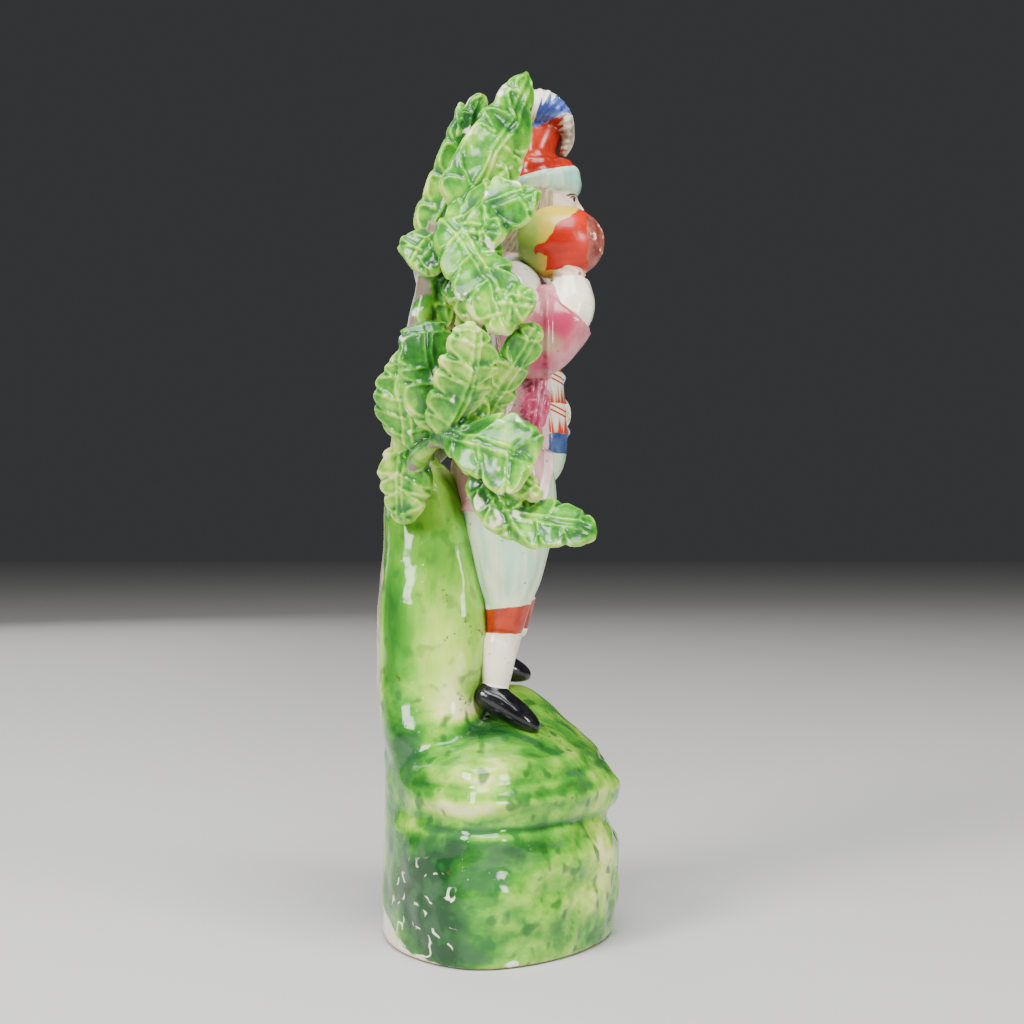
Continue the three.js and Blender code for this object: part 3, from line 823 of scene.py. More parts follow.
person_glaze, person_shader, start = new_material("painted_person")
place = start.node("ShaderNodeTexCoord", output="Object")
colour = clay_body(start, place)
upright_brush = (1, 1, 0.2)
colour = painted(colour, start, place, "breeches", (0.60, 0.68, 0.44), (0.33, 0.55, 0.36), upright_brush)
colour = painted(colour, start, place, "coat", (0.64, 0.36, 0.36), (0.46, 0.19, 0.21), upright_brush)
colour = painted(colour, start, place, "coat_edge", (0.84, 0.68, 0.63), (0.74, 0.46, 0.48), upright_brush)
colour = painted(colour, start, place, "sleeve", (0.52, 0.20, 0.21), (0.40, 0.10, 0.125), cover=0.8)
colour = colour.mix((0.36, 0.02, 0.07, 1), attribute(start, "deep_pink").step(-0.6, 0.8) * 0.95)
# The olive patch is a painted shadow with a painted green reflection of the leaves, in the elbow's bend.
colour = colour.mix((0.28, 0.25, 0.12, 1), attribute(start, "olive").step(-0.6, 0.8) * 0.75)
colour = painted(colour, start, place, "bare_shoulder", (0.56, 0.56, 0.46), (0.70, 0.68, 0.56), cover=0.9)
colour = painted(colour, start, place, "ribbon", (0.70, 0.25, 0.33), (0.45, 0.04, 0.115), (1, 1, 0.3))
colour = painted(colour, start, place, "garter", (0.40, 0.03, 0.006), (0.27, 0.017, 0.005))
colour = painted(colour, start, place, "hands", (0.72, 0.47, 0.33), (0.66, 0.36, 0.24), cover=0.6)
forward, upward = (place.node("ShaderNodeSeparateXYZ", None, {"Vector": place}, axis) for axis in "YZ")
motifs = (upward - 0.0992) / 0.0063
slanted = motifs - (forward + 0.011) * 68
up_motif = motifs.math("FRACT", motifs)
up_slant = motifs.math("FRACT", slanted)
tongues = (noise(start, place.vector("MULTIPLY", place, (1, 1, 0.1)), 900, 1, 0.5, 2.9) - 0.5) * 1.6 + 0.4
flames = (tongues - up_motif).step(-0.22, 0.3)
double_lines = (0.04 - abs(abs(up_slant - 0.78) - 0.08)).step(0, 0.02)
on_waistcoat = attribute(start, "waistcoat").step(0, 0.2)
colour = colour.mix((0.50, 0.045, 0.006, 1), flames.math("MAXIMUM", flames, double_lines) * on_waistcoat)
colour = painted(colour, start, place, "band", (0.07, 0.12, 0.27), (0.03, 0.055, 0.16))
colour = painted(colour, start, place, "buttons", (0.30, 0.42, 0.66), (0.62, 0.68, 0.72))
colour = painted(colour, start, place, "shoes", (0.012, 0.012, 0.014), (0.004, 0.004, 0.005))
specks = noise(start, place, 480, 2, 0.5, 6.6).step(0.70, 0.76)
colour = colour.mix((0.20, 0.08, 0.05, 1), specks * 0.8)
glaze(person_shader, start, place, colour, 0.35, 0.12, 0.2)
person.piece("person", person_glaze)


# The head, with long ochre hair under a red hat: a turned-up brim of pale turquoise and a feather that
# falls over the front. The face is a plain modeller's face, with its features touched in by brush.
head_rows = [
    (chin_height - 6, -4.6, 4.4, 4.4),
    (chin_height - 2.5, -5.0, 4.3, 4.6),
    (chin_height - 0.6, -6.4, 3.9, 5.6),
    (chin_height + 0.8, -7.6, 4.4, 6.5),
    (chin_height + 2.4, -7.9, 5.3, 7.0),
    (chin_height + 5, -7.7, 6.3, 7.4),
    (chin_height + 8.5, -7.4, 6.9, 7.6),
    (chin_height + 12, -7, 6.9, 7.2),
    (chin_height + 14.4, -6.6, 4.4, 3.6),
]


def lock(side):
    stops = [
        (6.6 * side, -7.5, chin_height + 8.5, 1.6, 2.6),
        (7.2 * side, -6.4, chin_height + 4, 1.9, 3.4),
        (6.4 * side, -4.8, chin_height - 1.5, 1.8, 3.4),
        (5.2 * side, -3.4, chin_height - 5, 1.0, 2.0),
    ]
    return limb(stops, sideways)


head_shapes = {
    "face": [
        column(head_rows, 96),
        limb(
            [
                (0, -14.3, chin_height + 7.8, 0.7, 0.6),
                (0, -14.9, chin_height + 6.3, 0.75, 0.8),
                (0, -15.5, chin_height + 4.9, 0.95, 0.95),
                (0, -14.7, chin_height + 4.1, 0.9, 0.6),
            ],
            sideways,
            24,
        ),
    ],
    "hair": [
        lock(-1),
        lock(1),
        column([(134, -2.6, 5.6, 2.6), (140, -1.6, 6.8, 3.2), (149, -1.8, 6.9, 3.4)]),
    ],
    "brim": [
        column(
            [
                (hat_brim_height - 0.2, -7.2, 7.5, 8.0),
                (hat_brim_height + 0.6, -7.2, 8.2, 8.5),
                (hat_brim_height + 2.3, -7.2, 8.6, 8.8),
                (hat_brim_height + 4.2, -7, 8.3, 8.4),
                (hat_brim_height + 5.6, -6.8, 7.8, 7.9),
                (hat_brim_height + 6.4, -6.8, 7.2, 7.2),
            ]
        )
    ],
    "crown": [
        column(
            [
                (hat_brim_height + 4, -6.8, 7.6, 7.8),
                (hat_brim_height + 6, -6.8, 7, 6.2),
                (hat_brim_height + 8, -6.6, 6.2, 4.3),
                (hat_brim_height + 10.8, -6.9, 5.8, 5.1),
                (hat_top_height - 2.4, -7.1, 5.2, 5.4),
                (hat_top_height - 0.6, -7.6, 4, 4),
                (hat_top_height + 0.6, -8, 1.8, 2),
            ]
        )
    ],
    "plume": [
        limb(
            [
                (-2.4, -0.7, hat_top_height - 5.0, 2.4, 1.2),
                (-2.4, -1.5, hat_top_height - 3.4, 4.2, 2.2),
                (-2.4, -4, hat_top_height + 0.4, 5.6, 3.2),
                (-2.4, -8, hat_top_height + 1.1, 5.8, 3.7),
                (-2.4, -11.4, hat_top_height - 0.7, 4.8, 2.6),
                (-2, -13.1, hat_top_height - 3.8, 3, 1.2),
                (-2, -12.9, hat_top_height - 6, 2.3, 0.95),
                (-2, -11.9, hat_top_height - 7.9, 1.3, 0.7),
            ],
            sideways,
            48,
        )
    ],
}
head = Skin([shape for shapes in head_shapes.values() for shape in shapes], 0.24 * detail)
head.relax(3)
nearness = {name: head.nearness(shapes) for name, shapes in head_shapes.items()}
mine = {name: own(nearness, name) for name in head_shapes}
for name, values in mine.items():
    head.values[name] = head.smoothed(values, 2)
x, y, z = head.points.T
side_x = np.abs(x)
eye_x, eye_z, mouth_z, brow_z = 2.7, 146.0, 141.8, 147.4
face_front = np.clip((-9 - y) / 2, 0, 1)
mirrored_points = np.stack([side_x, y, z], axis=1)
lid_arc = near(z - eye_z - 0.9 + 0.16 * (side_x - eye_x) ** 2, 0, 0.28) * near(side_x, eye_x, 1.5)
lower_lid = near(z - eye_z + 0.75 - 0.12 * (side_x - eye_x) ** 2, 0, 0.25) * near(side_x, eye_x, 1.3)
lip_bow = 0.28 * np.cos(side_x * 2.4) * (side_x < 1.3)
upper_lip = near(z, mouth_z + 0.35 + 0.3 * lip_bow, 0.38) * near(side_x, 0, 1.5)
lower_lip = near(z, mouth_z - 0.5, 0.42) * near(side_x, 0, 1.2)
mouth_line = near(z, mouth_z - 0.05 + 0.05 * side_x, 0.16) * near(side_x, 0, 1.6)
features = (
    -0.62 * bump(mirrored_points, (eye_x, -14, eye_z), (1.7, 5, 1.3))
    + 0.5 * bump(mirrored_points, (eye_x, -14, eye_z), (1.05, 5, 0.8))
    + 0.26 * lid_arc
    + 0.16 * lower_lid
    + 0.3 * near(z - brow_z + 0.08 * (side_x - 2.4) ** 2, 0, 0.5) * near(side_x, 2.8, 2)
    + 0.35 * bump(mirrored_points, (0.95, -15, 143.6), (0.5, 3, 0.5))
    + 0.34 * upper_lip
    + 0.4 * lower_lip
    - 0.35 * mouth_line
    + 0.35 * bump(mirrored_points, (0, -14, 139.9), (1.6, 4, 1.0))
    + 0.25 * bump(mirrored_points, (3.7, -12, 143.2), (1.8, 5, 1.8))
)
is_hair = np.clip(mine["hair"] / 0.3, 0, 1)
strands = is_hair * np.cos(2 * math.pi * (y + 0.5 * z + 0.8 * np.sin(z / 2.2)) / 1.3)
is_brim = np.clip(mine["brim"] / 0.3, 0, 1)
brim_turn = np.arctan2(y + 7.2, x)
brim_folds = is_brim * (np.cos(6 * brim_turn + 0.25 * z) + 0.5 * np.cos(13 * brim_turn + 1))
brim_edge = hat_brim_height + 4.4 + 0.25 * (-12 - y)
brim_lip = near(z, brim_edge - 0.8, 0.9) - 0.6 * near(z, brim_edge + 0.8, 0.9)
brim_lip = brim_lip * np.clip(np.maximum(mine["brim"], mine["crown"]) / 0.3, 0, 1)
is_plume = np.clip(mine["plume"] / 0.25, 0, 1)
plume_turn = np.arctan2(z - hat_top_height + 5, -(y + 5.5))
barbs = is_plume * (np.cos(plume_turn * 34 + 0.9 * side_x) * np.clip(np.abs(x + 2) / 1.2, 0, 1))
quill = is_plume * near(x, -2, 0.45)
head.push(
    face_front * features * np.clip(mine["face"] / 0.3 + 1, 0, 1)
    + 0.16 * strands
    + 0.16 * brim_folds
    + 0.3 * brim_lip
    + 0.17 * barbs
    + 0.25 * quill
    + 0.08 * lumps(head.points, 3.2, 21)
)
head.values["pool"] = head.hollow(8)
on_face = np.minimum(mine["face"], -9 - y)
brow_rise = np.abs(z - brow_z + 0.25 + 0.1 * (side_x - 2.4) ** 2)
brow = 0.27 - np.maximum(brow_rise, (np.abs(side_x - 2.8) - 1.7) * 0.5)
head.values["brows"] = np.minimum(on_face, brow)
lash_rise = np.abs(z - eye_z - 0.62 + 0.2 * (side_x - eye_x) ** 2)
lash = 0.17 - np.maximum(lash_rise, np.abs(side_x - eye_x) - 1.2)
head.values["lash"] = np.minimum(on_face, lash)
head.values["iris"] = np.minimum(on_face, 0.5 - np.hypot(side_x - eye_x + 0.05, z - eye_z - 0.05))
head.values["lips"] = np.minimum(
    on_face, 0.5 - np.maximum(np.abs(z - mouth_z + 0.05) - 0.25 + 0.16 * side_x**2, (side_x - 1.5))
)
head.values["blush"] = face_front * bump(mirrored_points, (3.8, -13, 143.0), (1.9, 6, 1.5))
on_hat = np.maximum(mine["plume"], mine["crown"])
fringe_top = 164.4 + 0.54 * (-7.5 - y) - z + 0.9 * barbs
fringe_foot = z - 159.5 - 0.42 * (-5.7 - y)
fringe_back = -5.7 - 0.35 * (z - 159.3) - y
head.values["plume_blue"] = np.min([on_hat, fringe_top, fringe_foot, fringe_back], axis=0)
turned_up = np.minimum(np.maximum(mine["brim"], mine["crown"]), brim_edge - z)
head.values["brim"] = np.minimum(turned_up, z - hat_brim_height + 0.6)
under_plume = np.minimum(mine["plume"], np.minimum(-fringe_foot, 12.2 + y))
crown = np.maximum(np.maximum(mine["brim"], mine["crown"]), under_plume)
head.values["crown"] = np.minimum(crown, z - brim_edge)
head.values["plume_tip"] = np.minimum(mine["plume"], np.minimum(-11.6 - y, 162.0 - z) + 0.6 * barbs)

head_glaze, head_shader, start = new_material("painted_head")
place = start.node("ShaderNodeTexCoord", output="Object")
colour = clay_body(start, place)
colour = colour.mix((0.78, 0.54, 0.40, 1), attribute(start, "face").step(-0.1, 0.2) * 0.55)
colour = colour.mix((0.72, 0.26, 0.18, 1), attribute(start, "blush").step(0.25, 1.0) * 0.6)
colour = painted(colour, start, place, "hair", (0.48, 0.40, 0.27), (0.27, 0.19, 0.10), (1, 1, 0.3))
colour = painted(colour, start, place, "crown", (0.40, 0.022, 0.006), (0.26, 0.010, 0.003), (1, 1, 0.6))
colour = painted(colour, start, place, "brim", (0.58, 0.70, 0.50), (0.24, 0.52, 0.40), (1, 1, 0.4))
colour = painted(colour, start, place, "plume_blue", (0.15, 0.24, 0.50), (0.02, 0.045, 0.24), (1, 0.4, 1))
colour = painted(colour, start, place, "plume_tip", (0.50, 0.42, 0.31), (0.16, 0.11, 0.07), (1, 1, 1), 0.85)
# Grey-brown dirt and painted shade, in patches, in the hollows of the face, hair and hat.
dirt_and_shade_in_hollows = attribute(start, "pool").step(0.02, 0.2) * noise(start, place, 300, 2, 0.5, 6.4).step(0.35, 0.6)
colour = colour.mix((0.24, 0.19, 0.13, 1), dirt_and_shade_in_hollows * 0.45)
colour = painted(colour, start, place, "lips", (0.62, 0.12, 0.08), (0.50, 0.06, 0.04))
colour = painted(colour, start, place, "brows", (0.10, 0.05, 0.02), (0.05, 0.02, 0.01))
colour = painted(colour, start, place, "lash", (0.05, 0.03, 0.02), (0.02, 0.01, 0.01))
colour = painted(colour, start, place, "iris", (0.02, 0.02, 0.03), (0.01, 0.01, 0.01))
glaze(head_shader, start, place, colour, 0.3, 0.2, 0.08)
head.piece("head_and_hat", head_glaze)


# The round flask on the right shoulder: a hollow clay ball, painted orange-red with a brush over a
# yellow and green ground, with a worn purple-brown patch at its front end.
flask_centre = np.array((-13, -11.3, 136.1))
flask_length, flask_radius = 8.6, 7.2


def flask():
    part = np.sin(np.linspace(-0.5, 0.5, 49) * math.pi)
    turn = np.linspace(0, 2 * math.pi, 96, endpoint=False)
    rings = []
    for at in np.clip(part, -0.9995, 0.9995):
        radius = flask_radius * math.sqrt(1 - at * at)
        ring = [radius * np.cos(turn), np.full(96, -at * flask_length), radius * np.sin(turn)]
        rings.append(np.stack(ring, axis=1) + flask_centre)
    return loft(rings)


ball = Skin([flask()], 0.3 * detail)
ball.relax(2)
ball.push(0.16 * lumps(ball.points, 6, 31) + 0.05 * lumps(ball.points, 2, 32))
forward = flask_centre[1] - ball.points[:, 1]
up = ball.points[:, 2] - flask_centre[2]
worn_front = 5.0
ball.push(0.12 * np.clip((forward - worn_front) / 1.5, 0, 1) * lumps(ball.points, 1.4, 33))
brush_wobble = 0.8 * lumps(ball.points, 3.0, 34) + 0.5 * lumps(ball.points, 1.4, 35)
brushed_edge = (forward + 5.2) * 0.735 - (up + 2.8) * 0.68 + brush_wobble
lower_edge = np.maximum(forward + 3.0 + brush_wobble, up + 2.8 - brush_wobble)
ball.values["orange"] = np.minimum(np.minimum(brushed_edge, lower_edge), up + 5.9 + 0.5 * brush_wobble)
ball.values["worn"] = forward - worn_front + brush_wobble
ball.values["yellowness"] = np.clip((forward + 7) / 6, 0, 1)
ball.values["pool"] = ball.hollow(8)

flask_glaze, flask_shader, start = new_material("painted_flask")
place = start.node("ShaderNodeTexCoord", output="Object")
blotches = noise(start, place, 190, 2, 0.5, 5.5) - 0.5
yellow = (attribute(start, "yellowness") + blotches).step(0.2, 0.8)
colour = start.mix((0.56, 0.38, 0.03, 1), yellow, (0.24, 0.34, 0.05, 1))
colour = painted(colour, start, place, "orange", (0.46, 0.016, 0.0006), (0.36, 0.009, 0.0004), (1, 0.3, 1))
colour = painted(colour, start, place, "worn", (0.30, 0.11, 0.075), (0.12, 0.035, 0.03), (1, 1, 1), 0.85)
chips = noise(start, place, 700, 2, 0.5, 3.8).step(0.6, 0.66) * attribute(start, "worn").step(0.6, 2.2)
colour = colour.mix((0.70, 0.58, 0.42, 1), chips)
glaze(flask_shader, start, place, colour, 0.3, 0.26, 0.04)
ball.piece("flask", flask_glaze)


# The bocage: sprays of oak leaves pressed in small moulds, bent while soft, and stuck with slip to
# flat stems behind the figure. Copper-green glaze ran off the ribs and pooled between them.
leaf_tree = bpy.data.node_groups.new("oak_leaves", "GeometryNodeTree")
leaf_sizes = {
    "Thickness": 1.9,
    "Rib Height": 0.55,
    "Rim Height": 0.55,
    "Relief": 0.3,
    "Carved Lobe Depth": 0.74,
    "Lobe Slant": 0.45,
    "Edge Droop": 0.12,
    "Fullness": 0.7,
    "Tip Sharpness": 1.3,
    "Seed": 4.0,
}
leaf_tree.interface.new_socket("Geometry", in_out="INPUT", socket_type="NodeSocketGeometry")
for name in leaf_sizes:
    leaf_tree.interface.new_socket(name, in_out="INPUT", socket_type="NodeSocketFloat")
leaf_tree.interface.new_socket("Leaf Material", in_out="INPUT", socket_type="NodeSocketMaterial")
leaf_tree.interface.new_socket("Geometry", in_out="OUTPUT", socket_type="NodeSocketGeometry")


def build_leaf_tree(tree):
    """Each point becomes a leaf, from the point to its tip, as wide, bowed and lobed as it says."""
    start = Field(tree)
    given = tree.nodes.new("NodeGroupInput")
    size = {socket.name: Field(tree, socket) for socket in given.outputs if socket.name}

    def told(name, kind="FLOAT"):
        return start.node("GeometryNodeInputNamedAttribute", {"data_type": kind}, {"Name": name}, "Attribute")

    stations, around, face_share = 110, 76, 0.72
    grid_sizes = {"Size X": 1.0, "Size Y": 1.0, "Vertices X": stations + 1, "Vertices Y": around + 1}
    grid = start.node("GeometryNodeMeshGrid", None, grid_sizes, "Mesh")
    spot = start.node("GeometryNodeInputPosition")
    for name, axis in (("along", "X"), ("around", "Y")):
        value = spot.node("ShaderNodeSeparateXYZ", None, {"Vector": spot}, axis) + 0.5
        kept = {"Geometry": grid, "Name": name, "Value": value}
        grid = start.node("GeometryNodeStoreNamedAttribute", {"data_type": "FLOAT", "domain": "POINT"}, kept)
    leaves = start.node("GeometryNodeInstanceOnPoints", None, {"Points": size["Geometry"], "Instance": grid})
    leaves = start.node("GeometryNodeRealizeInstances", None, {"Geometry": leaves})

    s, turn = told("along"), told("around")
    width, bow, lobes, widest, seed = (told(n) for n in ("width", "bow", "lobes", "widest", "seed"))
    root, tip, face = (told(n, "FLOAT_VECTOR") for n in ("root", "tip", "face"))
    on_face = turn.math("LESS_THAN", turn, face_share)
    front_v = turn * (2 / face_share) - 1
    back_v = 1 - (turn - face_share) * (2 / (1 - face_share))
    v = back_v + (front_v - back_v) * on_face
    out = abs(v)

    span = tip.vector("SUBTRACT", tip, root)
    length = span.node("ShaderNodeVectorMath", {"operation": "LENGTH"}, {0: span}, "Value")
    along = span.vector("NORMALIZE", span)
    lean = along.node("ShaderNodeVectorMath", {"operation": "DOT_PRODUCT"}, {0: face, 1: along}, "Value")
    up = face.vector("NORMALIZE", face.vector("SUBTRACT", face, along.scaled(lean)))
    side = along.vector("CROSS_PRODUCT", along, up)

    uneven = start.node("ShaderNodeCombineXYZ", None, {"X": s * 3.6, "Y": v.math("SIGN", v) * 2.7, "Z": seed})
    swing = start.node("ShaderNodeTexNoise", None, {"Vector": uneven, "Scale": 1.0, "Detail": 1.0}, "Fac")
    swing = (swing - 0.5) * 1.7

    def outline(at):
        grown = at.math("MAXIMUM", at.math("MINIMUM", at, 0.94), 0.02)
        opening = (grown / widest) ** (size["Fullness"] * widest)
        closing = ((1 - grown) / (1 - widest)) ** (size["Tip Sharpness"] * (1 - widest))
        return width * 0.5 * opening * closing

    def lobed(at, depth):
        phase = at * lobes + swing
        notch = abs(phase - phase.math("ROUND", phase)) * 2
        bulge = (1 - (1 - notch) ** 3) ** 0.55
        past_first = at.step(0.02, 0.12)
        return outline(at) * (1 - depth * (1 - bulge) * past_first)

    half = lobed(s, told("cut"))
    carved = lobed(s, size["Carved Lobe Depth"])
    nudge = 0.012
    slope = (lobed(s + nudge, size["Carved Lobe Depth"]) - carved) / (length * nudge)
    reach = out * half
    inside = (carved - reach) / (1 + slope * slope) ** 0.5
    raised = inside.step(-0.2, 0.2)
    rim = ((inside - 0.34) / 0.24) ** 2
    rim = rim.math("EXPONENT", 0 - rim)
    rib = ((reach - 0.8) / 0.28) ** 2
    rib = rib.math("EXPONENT", 0 - rib)
    rib_bed = (reach / 1.7) ** 2
    rib_bed = rib_bed.math("EXPONENT", 0 - rib_bed)
    phase = s * lobes + swing
    off_vein = (0.5 - abs(phase - phase.math("ROUND", phase))) * (length / lobes)
    vein = (off_vein / 0.38) ** 2
    vein = vein.math("EXPONENT", 0 - vein) * (1 - out) * raised
    lump_place = start.node("ShaderNodeCombineXYZ", None, {"X": s * length, "Y": v * half, "Z": seed * 9})

    def rough(scale, levels=1.0, output="Fac"):
        values = {"Vector": lump_place, "Scale": scale, "Detail": levels}
        return start.node("ShaderNodeTexNoise", None, values, output)

    lump = rough(0.17) - 0.5
    edge_round = (1 - out**6) ** 0.5
    ends = (s * 14).math("MINIMUM", s * 14, 1) * ((1 - s) * 16).math("MINIMUM", (1 - s) * 16, 1)
    ends = ends**0.5
    fade = 1 - s * 0.45
    ribs = (rib + rib_bed * 0.5) * size["Rib Height"] * fade
    carving = raised * size["Relief"] + rim * size["Rim Height"] + ribs + vein * 0.1
    carving = (carving + lump * 1.5) * edge_round
    high = (size["Thickness"] * 0.35 * edge_round + carving) * ends
    low = size["Thickness"] * -0.5 * edge_round * ends
    height = low + (high - low) * on_face
    arch = bow * 4 * s * (1 - s)
    height = height + arch - size["Edge Droop"] * half * out * out
    slant = size["Lobe Slant"]
    forward = length * s * (1 - slant * 0.25 * width / length) + slant * reach * (1 - s**4)
    at = root.vector("ADD", root, along.scaled(forward))
    at = at.vector("ADD", at, side.scaled(v * half * ends))
    at = at.vector("ADD", at, up.scaled(height))
    warp = rough(0.11, 1.0, "Color")
    at = at.vector("ADD", at, warp.vector("SUBTRACT", warp, (0.5, 0.5, 0.5)).scaled(3.2))
    leaves = start.node("GeometryNodeSetPosition", None, {"Geometry": leaves, "Position": at})
    leaves = start.node("GeometryNodeMergeByDistance", None, {"Geometry": leaves, "Distance": 0.004})
    leaves = start.node(
        "GeometryNodeSetMaterial", None, {"Geometry": leaves, "Material": size["Leaf Material"]}
    )
    end = tree.nodes.new("NodeGroupOutput")
    tree.links.new(leaves.socket, end.inputs[0])


build_leaf_tree(leaf_tree)
leaf_glaze, leaf_shader, start = new_material("copper_green_leaves")
place = start.node("ShaderNodeTexCoord", output="Object")
leaf_depth = attribute(start, "pool") * 2.5 + attribute(start, "basin") * 0.35 + 0.63
leaf_depth = leaf_depth - attribute(start, "overhang") * 0.35
green = copper_green(start, place, leaf_depth, (1, 1, 0.8), 1.1)
body = clay_body(start, place)
thin = (noise(start, place, 210, 2, 0.5, 7.4) - attribute(start, "pool") * 0.5).step(0.66, 0.73)
# Bare clay on the stems, in patches, painted dark brown-grey: dirt and painted shade.
bare_stem_dirt_and_shade = (attribute(start, "stem") * 0.16 + noise(start, place, 150, 2, 0.5, 1.3)).step(0.66, 0.73)
leaf_colour = green.mix(body, thin).mix((0.20, 0.155, 0.115, 1), bare_stem_dirt_and_shade * 0.95)
glaze(leaf_shader, start, place, leaf_colour, 0.12, 0.17, 0.08)


def leaf_shapes(rows):
    """Leaves from rows of [stalk end, tip, way it faces, width, bow, lobes, widest, cut of lobes]."""
    mesh = bpy.data.meshes.new("leaf_points")
    mesh.from_pydata([row[0] for row in rows], [], [])
    names = ("root", "tip", "face", "width", "bow", "lobes", "widest", "cut")
    for column_index, name in enumerate(names):
        values = np.array([row[column_index] for row in rows], np.float32)
        kind, key = ("FLOAT_VECTOR", "vector") if values.ndim == 2 else ("FLOAT", "value")
        mesh.attributes.new(name, kind, "POINT").data.foreach_set(key, values.ravel())
    seeds = mesh.attributes.new("seed", "FLOAT", "POINT")
    seeds.data.foreach_set("value", np.arange(len(rows), dtype=np.float32) * 1.37 + leaf_sizes["Seed"])
    points = bpy.data.objects.new("leaf_points", mesh)
    bpy.context.scene.collection.objects.link(points)
    growing = points.modifiers.new("leaves", "NODES")
    growing.node_group = leaf_tree
    for item in leaf_tree.interface.items_tree:
        if item.name in leaf_sizes:
            growing[item.identifier] = leaf_sizes[item.name]
        if item.name == "Leaf Material":
            growing[item.identifier] = leaf_glaze
    grown = bpy.data.meshes.new_from_object(points.evaluated_get(bpy.context.evaluated_depsgraph_get()))
    bpy.data.objects.remove(points)
    corners = np.array([tuple(v.co) for v in grown.vertices])
    shape = corners, [tuple(face.vertices) for face in grown.polygons]
    bpy.data.meshes.remove(grown)
    return shape


right_leaves = [
    ((-24, 9.4, 138), (-12, -5.7, 170.2), (-0.75, -0.6, 0.2), 13.6, 2.5, 4, 0.46, 0.1),
    ((-17, 15, 134), (-12, 3, 166), (-0.85, -0.4, 0.1), 10, 1.5, 5, 0.5, 0.12),
    ((-26, 11.5, 136), (-27.5, -9.2, 144), (-0.85, -0.15, 0.45), 12, 1.5, 4, 0.5, 0.2),
    ((-26, 11.5, 139), (-33, -2.0, 115.5), (-0.88, -0.4, 0.1), 13, 3, 5, 0.64, 0.22),
    ((-25, 10.5, 136.5), (-26, 17.4, 129), (-0.85, 0.3, 0.1), 10, 1, 3, 0.6, 0.15),
    ((-29, 12, 97.5), (-31, 15.4, 121), (-0.85, -0.4, 0.1), 12.5, 1.5, 5, 0.7, 0.2),
    ((-30, 11.5, 97), (-38, 4, 119.5), (-0.8, -0.55, 0.1), 13, 2, 6, 0.64, 0.22),
    ((-30, 12, 98.5), (-38, -7.6, 92), (-0.9, -0.15, 0.22), 15, 2.5, 4, 0.8, 0.32),
    ((-31, 5, 92.5), (-34, -2.6, 78.4), (-0.9, -0.3, -0.1), 8.2, 1.5, 4, 0.5, 0.2),
    ((-31, 2, 83.2), (-36, -18.8, 79.4), (-0.8, -0.1, 0.5), 11.5, 2, 4, 0.5, 0.2),
    ((-24, 4.5, 101), (-29, -7.2, 120), (-0.85, -0.45, 0), 8, 1, 5, 0.6, 0.3),
    ((-20.5, 17, 95), (-22.5, 17.8, 117), (-0.85, 0.35, 0.1), 13, 1.5, 6, 0.5, 0.15),
    ((-17, 17.5, 99), (-14.5, 18.5, 80), (-0.8, 0.5, 0), 12.5, 1.5, 5, 0.5, 0.15),
]
small_leaves = [
    ((-26, 9, 136.5), (-31, -2, 135), (-0.85, -0.2, 0.1), 9.5, 1.5, 3, 0.55, 0.25),
    ((-20, 10, 137), (-20, -1.5, 151), (-0.85, -0.3, 0.2), 8, 1, 3, 0.55, 0.2),
    ((-23, 10, 132), (-25, 3.5, 117.5), (-0.85, -0.1, 0), 8, 1, 4, 0.5, 0.2),
    ((-32, 1.5, 123.5), (-31.5, -6.8, 121.6), (-0.9, -0.3, 0.1), 7.5, 0.8, 2, 0.6, 0.25),
    ((-22, 12.5, 133), (-21, 9.5, 118), (-0.8, 0.2, 0), 6, 1, 3, 0.5, 0.2),
    ((-31, 4, 93.5), (-34, -8, 85.5), (-0.85, -0.2, 0.2), 7, 1, 4, 0.5, 0.25),
    ((-26, 9.5, 98.5), (-28, 1.5, 106), (-0.85, -0.4, 0.1), 6.5, 1, 3, 0.5, 0.25),
]
left_swings = [7, 0, -7, 6, None, -6, 5, -12, None, None, None, 5, -5]
middle_leaves = [
    ((-2.5, 14.5, 139), (-16, 7.5, 164), (-0.2, -1, 0.3), 12.5, 1, 5, 0.5, 0.15),
    ((0, 14.5, 139), (0, 7.5, 167), (0, -1, 0.3), 12.5, 1, 5, 0.5, 0.15),
    ((2.5, 14.5, 139), (16, 7.5, 164), (0.2, -1, 0.3), 12.5, 1, 5, 0.5, 0.15),
]
middle_stem = [
    (0, 17, 88, 5.5, 3.2),
    (0, 15.4, 112, 4.4, 2.6),
    (0, 13.6, 128, 3.6, 2.2),
    (0, 12.6, 144, 2.4, 2),
]
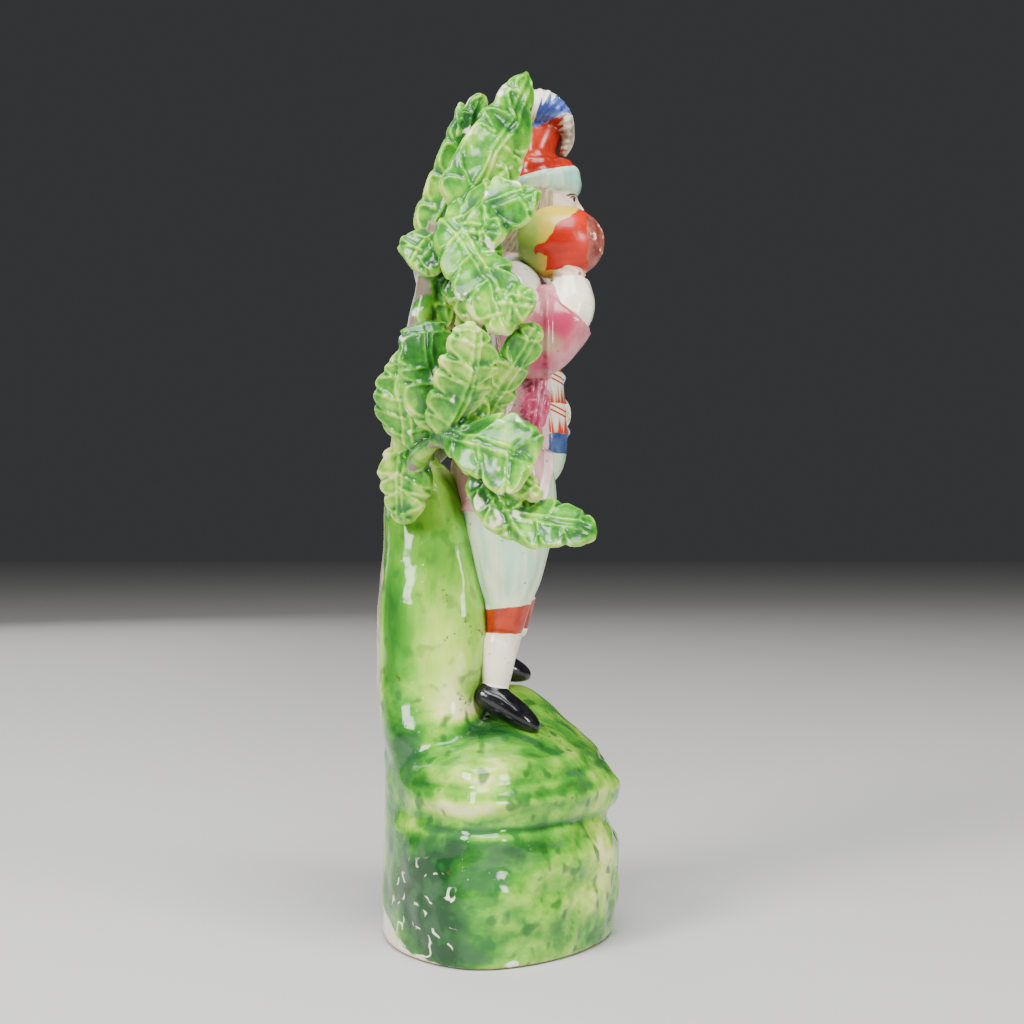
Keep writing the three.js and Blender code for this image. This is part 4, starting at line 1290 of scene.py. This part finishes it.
upper_stems = [
    [(-5, 17.5, 82, 5, 3.6), (-14, 18, 95, 4.2, 3.2), (-20, 17, 112, 3.4, 2.6), (-25, 11.5, 138, 2.2, 2.2)],
    [(-22.8, 14.5, 126, 2, 1.8), (-20.2, 15, 131, 1.7, 1.5), (-17, 14.6, 137.5, 1.4, 1.2)],
]
side_stem = [(-7, 17, 86, 4, 3), (-19, 16, 93.5, 2.8, 2.2), (-29.5, 12, 97.5, 1.5, 1.3)]
hanging_stalk = [(-29, 12, 97.6, 1.6, 1.4), (-30.8, 8.6, 95.2, 1.6, 1.3), (-31.8, 4, 90.2, 1.4, 1.2)]


def mirrored(row, swing):
    """A leaf of the left-hand half: mirrored, and swung by some degrees about its stalk end."""
    (x, y, z), tip, face, *rest = row
    turn = math.radians(swing)
    out_y = (tip[1] - y) * math.cos(turn) - (tip[2] - z) * math.sin(turn)
    out_z = (tip[1] - y) * math.sin(turn) + (tip[2] - z) * math.cos(turn)
    return ((-x, y, z), (-tip[0], y + out_y, z + out_z), (-face[0], *face[1:]), *rest)


left_leaves = [mirrored(row, swing) for row, swing in zip(right_leaves, left_swings) if swing is not None]
left_stems = [[(-x, *rest) for x, *rest in stops] for stops in (*upper_stems, side_stem)]
sprays = {
    "bocage_upper_right": (right_leaves[:5] + small_leaves[:5], upper_stems, 0.27),
    "bocage_lower_right": (right_leaves[5:] + small_leaves[5:], [side_stem, hanging_stalk], 0.27),
    "bocage_left": (left_leaves, left_stems, 0.34),
    "bocage_middle": (middle_leaves, [middle_stem], 0.32),
}
for name, (rows, stems, voxel) in sprays.items():
    leaf_shape = leaf_shapes(rows)
    stem_shapes = [limb(stops, sideways, 32) for stops in stems]
    spray = Skin([leaf_shape, *stem_shapes], voxel * detail)
    spray.relax(4)
    on_stem = np.clip(spray.nearness([leaf_shape]) - spray.nearness(stem_shapes), -1, 1)
    spray.push(0.12 * lumps(spray.points, 3, 41) + 0.6 * np.maximum(on_stem, 0) * lumps(spray.points, 5, 42))
    spray.values["stem"] = on_stem
    spray.values["pool"] = spray.hollow(7)
    spray.values["basin"] = spray.hollow(36)
    spray.values["overhang"] = np.clip(0.15 - spray.smoothed(spray.normals(), 20)[:, 2], 0, 1)
    spray.piece(name, leaf_glaze)
